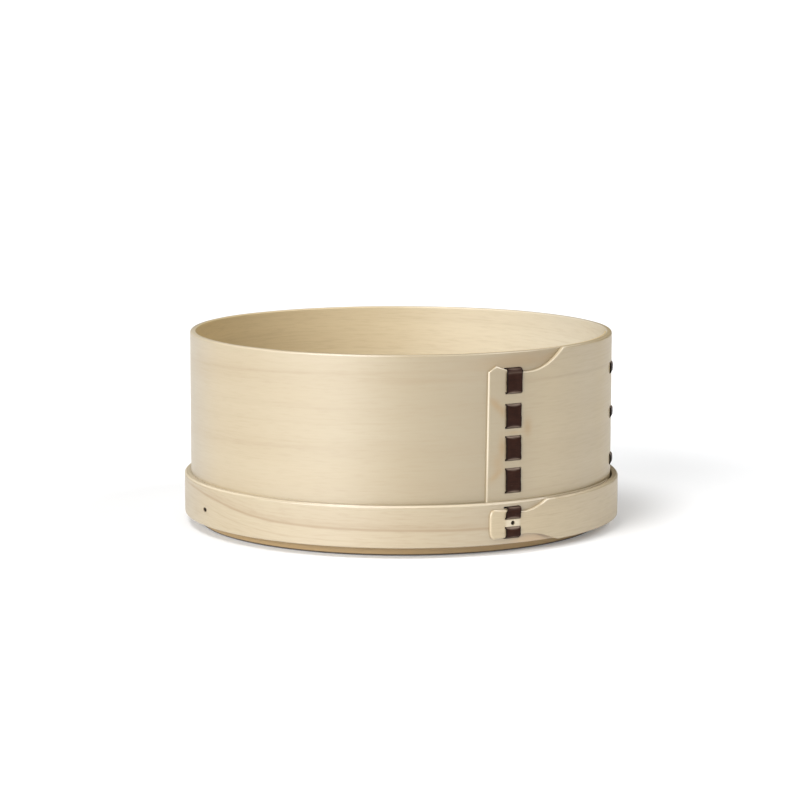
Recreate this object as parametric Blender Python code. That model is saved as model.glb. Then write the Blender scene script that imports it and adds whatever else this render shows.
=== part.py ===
"""Round bentwood steamer basket: a lapped wall strip and a base hoop laced with
bark, a foot ring, four pegged claws and a loose slatted floor that lifts out.

Metres, +Z up. The origin is on the basket's axis at the level it stands on.
-Y faces the laced seam. Azimuths are in degrees from -Y, growing towards +X.
"""

import math

import bmesh
import bpy
from mathutils import Vector

MM = 0.001  # every dimension below is in millimetres

# Wall strip: bent into a ring, its ends lapped. The outer end is the tongue.
WALL_RADIUS = 90.0  # outer radius away from the lap
WALL_THICK = 2.5
WALL_BOTTOM = 4.5
RIM = 81.7
WALL_TONGUE_AT = -6.2  # azimuth of the outer end
WALL_TONGUE_SLANT = 0.6  # the end edge leans by this many degrees over its height
WALL_TONGUE_THICK = 1.1
WALL_INNER_END_AT = 57.0
WALL_INNER_END_THICK = 0.9
WALL_DIP = 0.5  # the wall sinks this much where the tongue starts on top of it
WALL_SWELL = 0.3  # and swells this much over its inner end
WALL_DIP_FROM = 295.0
WALL_SWELL_TO = 95.0
TONGUE_SHOULDER = 74.2  # height of the tongue's outer corner
TONGUE_PEAK_AT, TONGUE_PEAK = -3.75, 76.3
TONGUE_NECK_FROM, TONGUE_NECK_TO, TONGUE_NECK = 4.9, 6.5, 73.3
TONGUE_MEETS_RIM_AT = 18.4
TONGUE_RISE_POWER = 1.88
LAYER_GAP = 0.2  # between the two layers of a lap
RIM_BEVEL_OUT, RIM_BEVEL_IN = 0.7, 0.5

# Base hoop, around the foot of the wall.
HOOP_BOTTOM, HOOP_TOP = 4.2, 21.3  # at its inner end
HOOP_SAG_BOTTOM, HOOP_SAG_TOP = 0.6, 0.4  # wound a little aslant, it lies lower towards its outer end
HOOP_SAG_FROM, HOOP_SAG_TO = 14.5, 340.0
HOOP_THICK = 2.4
HOOP_INNER_RADIUS = 90.4  # away from the lap
HOOP_LAP_RADIUS = 90.9  # inside the lap, where it clears the wall's tongue
HOOP_TONGUE_AT = -6.3
HOOP_TONGUE_THICK = 0.9
HOOP_INNER_END_AT = 44.0
HOOP_INNER_END_THICK = 0.7
HOOP_EASE = 28.0  # degrees over which the hoop comes back to its plain radius
HOOP_BEVEL = 0.5
HOOP_TIP_TOP, HOOP_TIP_BOTTOM = 15.4, 10.2  # where the tip's corners start to round
HOOP_CORNER_AT, HOOP_CORNER_TOP, HOOP_CORNER_BOTTOM = -5.0, 18.7, 6.5
HOOP_NECK_AT, HOOP_NECK_TOP, HOOP_NECK_BOTTOM = 3.4, 17.15, 7.9
HOOP_MEETS_TOP_AT, HOOP_MEETS_BOTTOM_AT = 10.6, 14.5

# Foot ring, inside the wall. It reaches below the wall and nests in the rim below.
RING_OUTER, RING_INNER = 86.5, 83.5
RING_TOP = 17.0
RING_BEVEL = 0.5

# Bark lacing.
BARK_THICK = 0.5
BARK_CLEAR = 0.3  # between the bark and the wood that it lies on
SLIT_TALL = 1.1
FRONT_LACING_AT, FRONT_LACING_WIDE = 1.3, 7.3
FRONT_STITCHES = ((75.35, 65.15), (60.45, 51.15), (47.35, 37.95), (34.25, 24.75))
SIDE_LACING_AT, SIDE_LACING_WIDE = 52.2, 7.3
SIDE_STITCHES = ((69.55, 65.25), (50.25, 46.05), (30.05, 25.85))
HOOP_LACING_AT, HOOP_LACING_WIDE = 0.0, 7.1
HOOP_STITCHES = ((19.1, 14.75), (10.95, 6.75))
FRONT_TAIL_TOP, FRONT_TAIL_BOTTOM = 79.0, 20.9
SIDE_TAIL_TOP, SIDE_TAIL_BOTTOM = 77.0, 21.5
HOOP_TAIL_TOP, HOOP_TAIL_BOTTOM = 16.5, 9.2
HOOP_GROOVE_DEEP = 1.1  # the hoop's bark lies in a groove on its inner side

# Pegs, one every quarter turn, through hoop, wall and foot ring into a claw.
PEGS = (("front", 0.0, 12.8), ("right", 90.0, 12.0), ("back", 180.0, 11.8), ("left", -90.0, 11.0))
PEG_RADIUS, PEG_HOLE_RADIUS = 0.8, 1.1
PEG_INNER_END = 77.3
PEG_RECESS = 0.6

# Claws: blocks inside the foot ring that carry the floor.
CLAW_OUTER, CLAW_INNER = 83.2, 73.5
CLAW_BOTTOM, CLAW_TOP = 6.5, 17.0
CLAW_HALF_ANGLE = 7.6
CLAW_CHAMFER = 4.5

# Slatted floor: slats along X on two battens along Y.
FLOOR_RADIUS = 84.5
FLOOR_UNDER = 17.3  # underside of the slats, resting over the claws
SLATS = 9
SLAT_PITCH, SLAT_WIDE, SLAT_THICK = 18.4, 13.4, 5.0
BATTEN_AT, BATTEN_WIDE, BATTEN_TALL, BATTEN_HALF = 28.0, 10.0, 6.0, 75.0
BATTEN_GAP = 0.3
PIN_RADIUS, PIN_HOLE_RADIUS = 0.75, 1.05
PIN_RECESS = 0.2
PIN_INTO_BATTEN = 3.6
END_SLAT_PIN_AT = 70.8  # the pins of the two end slats stand nearer the middle

STRIP_STEP = 4.0  # degrees between the columns of a bent strip


def polar(radius, azimuth, z):
    turn = math.radians(azimuth)
    return Vector((radius * math.sin(turn), -radius * math.cos(turn), z)) * MM


def mix(a, b, share):
    return a + (b - a) * share


def ease(start, end, value):
    share = min(1.0, max(0.0, (value - start) / (end - start)))
    return share * share * (3.0 - 2.0 * share)


def clear_scene():
    for thing in list(bpy.data.objects):
        bpy.data.objects.remove(thing, do_unlink=True)


def finish(name, shape, material, location=(0.0, 0.0, 0.0), parent=None):
    """The object made of a bmesh, with its faces turned out."""
    bmesh.ops.recalc_face_normals(shape, faces=shape.faces)
    mesh = bpy.data.meshes.new(name)
    shape.to_mesh(mesh)
    shape.free()
    if material:
        mesh.materials.append(material)
    thing = bpy.data.objects.new(name, mesh)
    bpy.context.scene.collection.objects.link(thing)
    thing.location = location
    thing.parent = parent
    mesh.shade_smooth()
    mesh.set_sharp_from_angle(angle=math.radians(30.0))
    return thing


def loft(columns, closed=False):
    """A solid through cross-sections that all have the same number of points."""
    shape = bmesh.new()
    rows = [[shape.verts.new(point) for point in column] for column in columns]
    many = len(rows[0])
    for i in range(len(rows) if closed else len(rows) - 1):
        first, second = rows[i], rows[(i + 1) % len(rows)]
        for j in range(many):
            k = (j + 1) % many
            shape.faces.new((first[j], first[k], second[k], second[j]))
    if not closed:
        shape.faces.new(rows[0])
        shape.faces.new(rows[-1])
    return shape


def add_block(shape, azimuth, inner, outer, wide, low, high):
    """A box that reaches out along the radius, for a slit or a groove."""
    turn = math.radians(azimuth)
    out = Vector((math.sin(turn), -math.cos(turn), 0.0))
    along = Vector((math.cos(turn), math.sin(turn), 0.0))
    corners = []
    for radius in (inner, outer):
        for side in (-0.5, 0.5):
            for z in (low, high):
                point = out * radius + along * (side * wide) + Vector((0.0, 0.0, z))
                corners.append(shape.verts.new(point * MM))
    for face in ((0, 1, 3, 2), (4, 6, 7, 5), (0, 4, 5, 1), (2, 3, 7, 6), (0, 2, 6, 4), (1, 5, 7, 3)):
        shape.faces.new([corners[i] for i in face])


def add_rod(shape, start, end, radius, sides):
    """A round rod between two points, in metres."""
    made = bmesh.ops.create_cone(
        shape, cap_ends=True, segments=sides, radius1=radius * MM, radius2=radius * MM, depth=(end - start).length
    )
    turn = (end - start).to_track_quat("Z", "Y").to_matrix().to_4x4()
    bmesh.ops.transform(shape, matrix=turn, verts=made["verts"])
    bmesh.ops.translate(shape, vec=(start + end) / 2.0, verts=made["verts"])


def make_cutter(name, shape):
    cutter = finish(name, shape, None)
    cutter.hide_render = True
    cutter.display_type = "WIRE"
    return cutter


def cut(thing, cutter):
    modifier = thing.modifiers.new(cutter.name, "BOOLEAN")
    modifier.operation = "DIFFERENCE"
    modifier.object = cutter
    modifier.solver = "EXACT"


def make_material(name, colour, roughness):
    material = bpy.data.materials.new(name)
    material.use_nodes = True
    surface = material.node_tree.nodes["Principled BSDF"]
    surface.inputs["Base Color"].default_value = (*colour, 1.0)
    surface.inputs["Roughness"].default_value = roughness
    surface.inputs["Metallic"].default_value = 0.0
    return material


# Wall strip. Its azimuth runs from the tongue once around and on under the tongue.


def wall_middle(share):
    """Radius of the face between the two layers of the lap."""
    high = WALL_RADIUS - WALL_DIP
    low = WALL_RADIUS + WALL_SWELL - WALL_THICK
    return mix(high, low, share)


def wall_radii(azimuth):
    """Inner and outer radius of the strip at an azimuth along it."""
    span = WALL_INNER_END_AT - WALL_TONGUE_AT
    if azimuth <= WALL_INNER_END_AT:
        share = max(0.0, (azimuth - WALL_TONGUE_AT) / span)
        middle = wall_middle(share)
        return middle + LAYER_GAP / 2, middle + mix(WALL_TONGUE_THICK, WALL_THICK, share)
    if azimuth >= 360.0 + WALL_TONGUE_AT:
        share = min(1.0, (azimuth - 360.0 - WALL_TONGUE_AT) / span)
        middle = wall_middle(share)
        return middle - mix(WALL_THICK, WALL_INNER_END_THICK, share), middle - LAYER_GAP / 2
    swell = 1.0 - ease(WALL_INNER_END_AT, WALL_SWELL_TO, azimuth)
    dip = ease(WALL_DIP_FROM, 360.0 + WALL_TONGUE_AT, azimuth)
    outer = WALL_RADIUS + WALL_SWELL * swell - (WALL_DIP + LAYER_GAP / 2) * dip
    return outer - WALL_THICK + LAYER_GAP / 2 * (swell + dip), outer


def tongue_top(azimuth):
    """Upper edge of the wall's tongue, falling to a neck and then rising to the rim."""
    if azimuth >= TONGUE_MEETS_RIM_AT:
        return RIM
    if azimuth >= TONGUE_NECK_TO:
        share = (azimuth - TONGUE_NECK_TO) / (TONGUE_MEETS_RIM_AT - TONGUE_NECK_TO)
        return mix(TONGUE_NECK, RIM, share**TONGUE_RISE_POWER)
    if azimuth >= TONGUE_NECK_FROM:
        return TONGUE_NECK
    return mix(TONGUE_PEAK, TONGUE_NECK, (azimuth - TONGUE_PEAK_AT) / (TONGUE_NECK_FROM - TONGUE_PEAK_AT))


def wall_column(azimuth_low, azimuth_high, top):
    inner, outer = wall_radii((azimuth_low + azimuth_high) / 2)
    thick = outer - inner
    out_bevel, in_bevel = min(RIM_BEVEL_OUT, thick * 0.5), min(RIM_BEVEL_IN, thick * 0.25)
    return (
        polar(inner, azimuth_low, WALL_BOTTOM),
        polar(outer, azimuth_low, WALL_BOTTOM),
        polar(outer, azimuth_high, top - out_bevel),
        polar(outer - out_bevel, azimuth_high, top),
        polar(inner + in_bevel, azimuth_high, top),
        polar(inner, azimuth_high, top - in_bevel),
    )


def make_wall(material):
    half = WALL_TONGUE_SLANT / 2
    columns = [wall_column(WALL_TONGUE_AT - half, WALL_TONGUE_AT + half, TONGUE_SHOULDER)]
    neck = TONGUE_MEETS_RIM_AT - TONGUE_NECK_TO
    stops = [TONGUE_PEAK_AT, -0.8, 1.3, 3.2, TONGUE_NECK_FROM]
    stops += [TONGUE_NECK_TO + neck * i / 7 for i in range(8)]
    columns += [wall_column(a, a, tongue_top(a)) for a in stops]
    end = 360.0 + WALL_INNER_END_AT
    steps = round((end - TONGUE_MEETS_RIM_AT) / STRIP_STEP)
    for i in range(1, steps + 1):
        azimuth = mix(TONGUE_MEETS_RIM_AT, end, i / steps)
        columns.append(wall_column(azimuth, azimuth, RIM))
    return finish("wall_band", loft(columns), material)


# Base hoop, wound the same way.


def hoop_middle(share):
    return mix(HOOP_LAP_RADIUS + HOOP_THICK, HOOP_LAP_RADIUS + HOOP_INNER_END_THICK, share)


def hoop_radii(azimuth):
    span = HOOP_INNER_END_AT - HOOP_TONGUE_AT
    if azimuth <= HOOP_INNER_END_AT:
        share = max(0.0, (azimuth - HOOP_TONGUE_AT) / span)
        middle = hoop_middle(share)
        return middle + LAYER_GAP / 2, middle + mix(HOOP_TONGUE_THICK, HOOP_THICK, share)
    if azimuth >= 360.0 + HOOP_TONGUE_AT:
        share = min(1.0, (azimuth - 360.0 - HOOP_TONGUE_AT) / span)
        return HOOP_LAP_RADIUS, hoop_middle(share) - LAYER_GAP / 2
    back = 1.0 - ease(HOOP_INNER_END_AT, HOOP_INNER_END_AT + HOOP_EASE, azimuth)
    widen = ease(320.0, 360.0 + HOOP_TONGUE_AT, azimuth)
    inner = HOOP_INNER_RADIUS + (hoop_middle(1.0) + LAYER_GAP / 2 - HOOP_INNER_RADIUS) * back
    inner += (HOOP_LAP_RADIUS - HOOP_INNER_RADIUS) * widen
    return inner, inner + HOOP_THICK - LAYER_GAP / 2 * (back + widen)


def hoop_levels(azimuth):
    """Lower and upper edge of the plain strip."""
    sag = 1.0 - min(1.0, max(0.0, (azimuth - HOOP_SAG_FROM) / (HOOP_SAG_TO - HOOP_SAG_FROM)))
    return HOOP_BOTTOM - HOOP_SAG_BOTTOM * sag, HOOP_TOP - HOOP_SAG_TOP * sag


def hoop_edges(azimuth):
    """Lower and upper edge of the hoop's tongue, waisted behind its rounded tip."""
    if azimuth >= HOOP_NECK_AT:
        up = min(1.0, (azimuth - HOOP_NECK_AT) / (HOOP_MEETS_TOP_AT - HOOP_NECK_AT))
        down = min(1.0, (azimuth - HOOP_NECK_AT) / (HOOP_MEETS_BOTTOM_AT - HOOP_NECK_AT))
        bottom, top = hoop_levels(azimuth)
        return mix(HOOP_NECK_BOTTOM, bottom, down**1.8), mix(HOOP_NECK_TOP, top, up**1.75)
    if azimuth >= HOOP_CORNER_AT:
        share = (azimuth - HOOP_CORNER_AT) / (HOOP_NECK_AT - HOOP_CORNER_AT)
        return mix(HOOP_CORNER_BOTTOM, HOOP_NECK_BOTTOM, share), mix(HOOP_CORNER_TOP, HOOP_NECK_TOP, share)
    share = max(0.0, azimuth - HOOP_TONGUE_AT) / (HOOP_CORNER_AT - HOOP_TONGUE_AT)
    bulge = math.sqrt(1.0 - (1.0 - share) ** 2)
    return mix(HOOP_TIP_BOTTOM, HOOP_CORNER_BOTTOM, bulge), mix(HOOP_TIP_TOP, HOOP_CORNER_TOP, bulge)


def hoop_column(azimuth):
    inner, outer = hoop_radii(azimuth)
    low, high = hoop_edges(azimuth) if azimuth < 100.0 else hoop_levels(azimuth)
    bevel = min(HOOP_BEVEL, (outer - inner) * 0.5)
    return (
        polar(inner, azimuth, low),
        polar(outer - bevel, azimuth, low),
        polar(outer, azimuth, low + bevel),
        polar(outer, azimuth, high - bevel),
        polar(outer - bevel, azimuth, high),
        polar(inner, azimuth, high),
    )


def make_hoop(material):
    corner = HOOP_CORNER_AT - HOOP_TONGUE_AT
    stops = [HOOP_TONGUE_AT + corner * share for share in (0.0, 0.12, 0.45, 1.0)]
    stops += [-2.6, 0.0, 2.6]
    stops += [HOOP_NECK_AT + (HOOP_MEETS_TOP_AT - HOOP_NECK_AT) * i / 5 for i in range(6)]
    stops += [mix(HOOP_MEETS_TOP_AT, HOOP_MEETS_BOTTOM_AT, i / 2) for i in (1, 2)]
    end = 360.0 + HOOP_INNER_END_AT
    steps = round((end - HOOP_MEETS_BOTTOM_AT) / STRIP_STEP)
    stops += [mix(HOOP_MEETS_BOTTOM_AT, end, i / steps) for i in range(1, steps + 1)]
    return finish("base_hoop", loft([hoop_column(a) for a in stops]), material)


def make_ring(material):
    columns = []
    for i in range(90):
        azimuth = 4.0 * i
        columns.append(
            (
                polar(RING_INNER, azimuth, RING_BEVEL),
                polar(RING_INNER + RING_BEVEL, azimuth, 0.0),
                polar(RING_OUTER - RING_BEVEL, azimuth, 0.0),
                polar(RING_OUTER, azimuth, RING_BEVEL),
                polar(RING_OUTER, azimuth, RING_TOP),
                polar(RING_INNER, azimuth, RING_TOP),
            )
        )
    return finish("foot_ring", loft(columns, closed=True), material)


def make_claw(name, azimuth, material):
    columns = []
    for i in range(7):
        turn = mix(-CLAW_HALF_ANGLE, CLAW_HALF_ANGLE, i / 6)
        inner = CLAW_INNER / math.cos(math.radians(turn))
        at = azimuth + turn
        columns.append(
            (
                polar(CLAW_OUTER, at, CLAW_BOTTOM),
                polar(CLAW_OUTER, at, CLAW_TOP),
                polar(inner, at, CLAW_TOP),
                polar(inner, at, CLAW_BOTTOM + CLAW_CHAMFER),
                polar(inner + CLAW_CHAMFER, at, CLAW_BOTTOM),
            )
        )
    return finish(name, loft(columns), material)


def lacing_path(inside, outside, stitches, top, bottom):
    """(radius, height) along a strip that runs in and out through the slits."""
    path = [(inside, top)]
    for high, low in stitches:
        path += [(inside, high), (outside, high), (outside, low), (inside, low)]
    return path + [(inside, bottom)]


def make_lacing(name, azimuth, wide, path, material):
    """A flat strip of bark along a path in the upright plane through the axis."""
    turn = math.radians(azimuth)
    along = Vector((math.cos(turn), math.sin(turn), 0.0)) * (wide / 2 * MM)
    columns = []
    for i, (radius, z) in enumerate(path):
        here = Vector((radius, z))
        before = (here - Vector(path[i - 1])).normalized() if i else None
        after = (Vector(path[i + 1]) - here).normalized() if i + 1 < len(path) else None
        before, after = before or after, after or before
        bend = Vector((-before.y - after.y, before.x + after.x))
        # The two faces meet at the mitre of the corner.
        side = bend / bend.length_squared * BARK_THICK
        one, other = here + side, here - side
        columns.append(
            (
                polar(one.x, azimuth, one.y) - along,
                polar(other.x, azimuth, other.y) - along,
                polar(other.x, azimuth, other.y) + along,
                polar(one.x, azimuth, one.y) + along,
            )
        )
    return finish(name, loft(columns), material)


def slit_shape(azimuth, wide, stitches, inner, outer):
    shape = bmesh.new()
    for high, low in stitches:
        for z in (high, low):
            add_block(shape, azimuth, inner, outer, wide + 0.7, z - SLIT_TALL / 2, z + SLIT_TALL / 2)
    return shape


def make_slat(index, material, parent):
    middle = (index - (SLATS - 1) / 2) * SLAT_PITCH
    rows = [middle + SLAT_WIDE * (i / 4 - 0.5) for i in range(5)]
    outline = [(math.sqrt(FLOOR_RADIUS**2 - y**2), y) for y in rows]
    outline += [(-x, y) for x, y in reversed(outline)]
    shape = bmesh.new()
    face = shape.faces.new([shape.verts.new(Vector((x, y, 0.0)) * MM) for x, y in outline])
    raised = bmesh.ops.extrude_face_region(shape, geom=[face])
    top = [item for item in raised["geom"] if isinstance(item, bmesh.types.BMVert)]
    bmesh.ops.translate(shape, vec=(0.0, 0.0, SLAT_THICK * MM), verts=top)
    return finish(f"slat_{index + 1}", shape, material, parent=parent)


def pin_heights():
    return -BATTEN_GAP - PIN_INTO_BATTEN, SLAT_THICK - PIN_RECESS


def pin_places():
    """(x, y) of every pin, slat by slat."""
    places = []
    for index in range(SLATS):
        y = (index - (SLATS - 1) / 2) * SLAT_PITCH
        y = max(-END_SLAT_PIN_AT, min(END_SLAT_PIN_AT, y))
        places += [(-BATTEN_AT, y), (BATTEN_AT, y)]
    return places


def make_floor(slat_wood, batten_wood, pin_wood):
    """Everything stands on an empty on the basket's axis, which the floor lifts along."""
    lift = bpy.data.objects.new("floor_lift_axis", None)
    bpy.context.scene.collection.objects.link(lift)
    lift.location = (0.0, 0.0, FLOOR_UNDER * MM)
    low, high = pin_heights()
    holes = bmesh.new()
    for x, y in pin_places():
        add_rod(holes, Vector((x, y, low - 0.4)) * MM, Vector((x, y, high + 4.0)) * MM, PIN_HOLE_RADIUS, 12)
    cutter = make_cutter("pin_hole_cutter", holes)
    cutter.parent = lift
    for index in range(SLATS):
        cut(make_slat(index, slat_wood, lift), cutter)
    for name, side in (("batten_left", -1), ("batten_right", 1)):
        shape = bmesh.new()
        bmesh.ops.create_cube(shape, size=1.0)
        size = Vector((BATTEN_WIDE, 2 * BATTEN_HALF, BATTEN_TALL)) * MM
        bmesh.ops.scale(shape, vec=size, verts=shape.verts)
        middle = Vector((side * BATTEN_AT, 0.0, -BATTEN_GAP - BATTEN_TALL / 2)) * MM
        bmesh.ops.translate(shape, vec=middle, verts=shape.verts)
        cut(finish(name, shape, batten_wood, parent=lift), cutter)
    for number, (x, y) in enumerate(pin_places(), 1):
        shape = bmesh.new()
        add_rod(shape, Vector((0.0, 0.0, low)) * MM, Vector((0.0, 0.0, high)) * MM, PIN_RADIUS, 10)
        place = (x * MM, y * MM, 0.0)
        finish(f"slat_pin_{number:02d}", shape, pin_wood, location=place, parent=lift)


def make_basket():
    wall_wood = make_material("wall_wood", (0.74, 0.62, 0.43), 0.55)
    hoop_wood = make_material("hoop_wood", (0.76, 0.65, 0.46), 0.55)
    ring_wood = make_material("ring_wood", (0.55, 0.36, 0.17), 0.6)
    claw_wood = make_material("claw_wood", (0.66, 0.50, 0.30), 0.6)
    front_bark = make_material("front_bark", (0.05, 0.03, 0.03), 0.4)
    side_bark = make_material("side_bark", (0.05, 0.03, 0.03), 0.4)
    hoop_bark = make_material("hoop_bark", (0.05, 0.03, 0.03), 0.4)
    peg_bamboo = make_material("peg_bamboo", (0.10, 0.06, 0.04), 0.6)
    slat_wood = make_material("slat_wood", (0.74, 0.62, 0.43), 0.6)
    batten_wood = make_material("batten_wood", (0.70, 0.57, 0.38), 0.6)
    pin_bamboo = make_material("pin_bamboo", (0.45, 0.32, 0.17), 0.5)

    wall = make_wall(wall_wood)
    hoop = make_hoop(hoop_wood)
    ring = make_ring(ring_wood)

    # Lacing and the slits that it passes through.
    reach = BARK_CLEAR + BARK_THICK / 2
    for name, azimuth, wide, stitches, top, bottom, bark in (
        ("front_lacing", FRONT_LACING_AT, FRONT_LACING_WIDE, FRONT_STITCHES, FRONT_TAIL_TOP, FRONT_TAIL_BOTTOM, front_bark),
        ("side_lacing", SIDE_LACING_AT, SIDE_LACING_WIDE, SIDE_STITCHES, SIDE_TAIL_TOP, SIDE_TAIL_BOTTOM, side_bark),
    ):
        inside = wall_radii(azimuth + 360.0)[0] - reach
        outside = wall_radii(azimuth)[1] + reach
        make_lacing(name, azimuth, wide, lacing_path(inside, outside, stitches, top, bottom), bark)
        slits = slit_shape(azimuth, wide, stitches, RING_OUTER - 3.0, HOOP_INNER_RADIUS + 6.0)
        cut(wall, make_cutter(name + "_slits", slits))

    groove = HOOP_LAP_RADIUS + HOOP_GROOVE_DEEP
    inside = groove - reach
    outside = hoop_radii(HOOP_LACING_AT)[1] + reach
    path = lacing_path(inside, outside, HOOP_STITCHES, HOOP_TAIL_TOP, HOOP_TAIL_BOTTOM)
    hoop_lacing = make_lacing("hoop_lacing", HOOP_LACING_AT, HOOP_LACING_WIDE, path, hoop_bark)
    slits = slit_shape(HOOP_LACING_AT, HOOP_LACING_WIDE, HOOP_STITCHES, HOOP_LAP_RADIUS - 3.0, outside + 3.0)
    cut(hoop, make_cutter("hoop_lacing_slits", slits))
    shape = bmesh.new()
    lowest, highest = HOOP_STITCHES[-1][1] - SLIT_TALL / 2, HOOP_STITCHES[0][0] + SLIT_TALL / 2
    add_block(shape, HOOP_LACING_AT, HOOP_LAP_RADIUS - 3.0, groove, HOOP_LACING_WIDE + 0.7, lowest, highest)
    cut(hoop, make_cutter("hoop_lacing_groove", shape))

    # Pegs, their holes and the claws that they hold.
    holes = bmesh.new()
    for _, azimuth, z in PEGS:
        start, end = polar(PEG_INNER_END - 0.3, azimuth, z), polar(HOOP_INNER_RADIUS + 9.0, azimuth, z)
        add_rod(holes, start, end, PEG_HOLE_RADIUS, 16)
    peg_holes = make_cutter("peg_hole_cutter", holes)
    for thing in (wall, hoop, ring, hoop_lacing):
        cut(thing, peg_holes)
    for place, azimuth, z in PEGS:
        cut(make_claw("claw_" + place, azimuth, claw_wood), peg_holes)
        outer = hoop_radii(azimuth if azimuth >= 0.0 else azimuth + 360.0)[1] - PEG_RECESS
        shape = bmesh.new()
        add_rod(shape, polar(PEG_INNER_END, azimuth, z), polar(outer, azimuth, z), PEG_RADIUS, 12)
        finish("peg_" + place, shape, peg_bamboo)

    make_floor(slat_wood, batten_wood, pin_bamboo)


clear_scene()
make_basket()
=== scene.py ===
"""Looks of the round bentwood steamer basket: fine meshes and procedural wood, bark and
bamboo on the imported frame. Lengths below are in millimetres unless they say otherwise, and
azimuths are in degrees from -Y, growing towards +X, as in the part's source."""

import math

import bmesh
import bpy
from mathutils import Matrix, Vector


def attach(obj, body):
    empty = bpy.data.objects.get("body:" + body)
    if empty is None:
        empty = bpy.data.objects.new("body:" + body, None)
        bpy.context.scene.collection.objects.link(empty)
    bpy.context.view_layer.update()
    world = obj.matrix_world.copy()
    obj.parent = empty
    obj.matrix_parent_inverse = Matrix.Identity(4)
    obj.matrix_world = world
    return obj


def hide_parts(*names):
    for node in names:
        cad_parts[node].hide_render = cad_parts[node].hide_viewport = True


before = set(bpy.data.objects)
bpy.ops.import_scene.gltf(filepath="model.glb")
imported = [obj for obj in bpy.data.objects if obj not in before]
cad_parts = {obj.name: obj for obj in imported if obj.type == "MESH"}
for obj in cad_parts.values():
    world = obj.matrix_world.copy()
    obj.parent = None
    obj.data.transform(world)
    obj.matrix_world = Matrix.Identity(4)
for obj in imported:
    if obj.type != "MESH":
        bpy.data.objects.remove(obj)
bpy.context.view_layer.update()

MM = 0.001
DEG = math.pi / 180.0

# Sizes of the frame's strips, repeated from the part.
WALL_RADIUS, WALL_THICK, WALL_BOTTOM, RIM = 90.0, 2.5, 4.5, 81.7
WALL_TONGUE_AT, WALL_TONGUE_SLANT, WALL_TONGUE_THICK = -6.2, 0.6, 1.1
WALL_INNER_END_AT, WALL_INNER_END_THICK = 57.0, 0.9
WALL_DIP, WALL_SWELL, WALL_DIP_FROM, WALL_SWELL_TO = 0.5, 0.3, 295.0, 95.0
TONGUE_SHOULDER, TONGUE_PEAK_AT, TONGUE_PEAK = 74.2, -3.75, 76.3
TONGUE_NECK_FROM, TONGUE_NECK_TO, TONGUE_NECK = 1.6, 6.5, 73.3
TONGUE_MEETS_RIM_AT, TONGUE_RISE_POWER = 18.4, 1.88
HOOP_BOTTOM, HOOP_TOP, HOOP_THICK = 4.2, 21.3, 2.4
HOOP_SAG_BOTTOM, HOOP_SAG_TOP, HOOP_SAG_FROM, HOOP_SAG_TO = 0.6, 0.4, 14.5, 340.0
HOOP_INNER_RADIUS, HOOP_LAP_RADIUS = 90.4, 90.9
HOOP_TONGUE_AT, HOOP_TONGUE_THICK = -6.3, 0.9
HOOP_INNER_END_AT, HOOP_INNER_END_THICK, HOOP_EASE = 44.0, 0.7, 28.0
HOOP_TIP_TOP, HOOP_TIP_BOTTOM = 15.4, 10.2
HOOP_CORNER_AT, HOOP_CORNER_TOP, HOOP_CORNER_BOTTOM = -5.0, 18.7, 6.5
HOOP_NECK_AT, HOOP_NECK_TOP, HOOP_NECK_BOTTOM = 3.4, 17.15, 7.9
HOOP_MEETS_TOP_AT, HOOP_MEETS_BOTTOM_AT = 10.6, 14.5
RING_OUTER, RING_INNER, RING_TOP = 86.5, 83.5, 17.0
FRONT_AT, FRONT_WIDE = 1.3, 7.3
FRONT_STITCHES = ((74.9, 65.15), (60.45, 51.15), (47.35, 37.95), (34.25, 24.75))
SIDE_AT, SIDE_WIDE = 52.2, 7.3
SIDE_STITCHES = ((69.55, 65.25), (50.25, 46.05), (30.05, 25.85))
SIDE_LEAN = ((67.4, -0.7), (48.1, 0.3), (28.0, 0.8))  # height, degrees further round
HOOP_AT, HOOP_WIDE = 0.0, 7.1
HOOP_STITCHES = ((19.1, 14.75), (10.95, 6.75))
PEGS = (("front", 0.0, 12.8), ("right", 90.0, 12.0), ("back", 180.0, 11.8), ("left", -90.0, 11.0))
CLAW_OUTER, CLAW_INNER, CLAW_BOTTOM, CLAW_TOP = 83.2, 73.5, 6.5, 17.0
CLAW_HALF_ANGLE, CLAW_CHAMFER = 7.6, 4.5
FLOOR_RADIUS, FLOOR_UNDER, SLATS = 84.5, 17.3, 9
SLAT_PITCH, SLAT_WIDE, SLAT_THICK = 18.4, 13.4, 5.0
BATTEN_AT, BATTEN_WIDE, BATTEN_TALL, BATTEN_HALF, BATTEN_GAP = 28.0, 10.0, 6.0, 75.0, 0.3
END_SLAT_PIN_AT = 70.8

LAYER_GAP = 0.06  # between the layers of a lap, closer than in the frame
TONGUE_BEVEL, TONGUE_BEVEL_RISE = 0.46, 0.36  # at the tip, and where its edge climbs to the rim
SLIT_HALF = 0.42
PEG_HOLE = 1.1
PEG_LEFT_OVAL = (1.35, 0.78)  # the left peg is split, wider than it is tall


def polar(radius, azimuth, z):
    return Vector((radius * math.sin(azimuth * DEG), -radius * math.cos(azimuth * DEG), z)) * MM


def mix(a, b, share):
    return a + (b - a) * share


def clamp(value, low=0.0, high=1.0):
    return max(low, min(high, value))


def ease(start, end, value):
    share = clamp((value - start) / (end - start))
    return share * share * (3.0 - 2.0 * share)


def wave(x, seed):
    """A smooth, fixed wander between about -1 and 1."""
    return (
        math.sin(x * 1.0 + seed * 12.9898)
        + 0.6 * math.sin(x * 2.17 + seed * 78.233)
        + 0.35 * math.sin(x * 4.71 + seed * 37.719)
    ) / 1.6


# ---------------------------------------------------------------- materials


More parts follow.
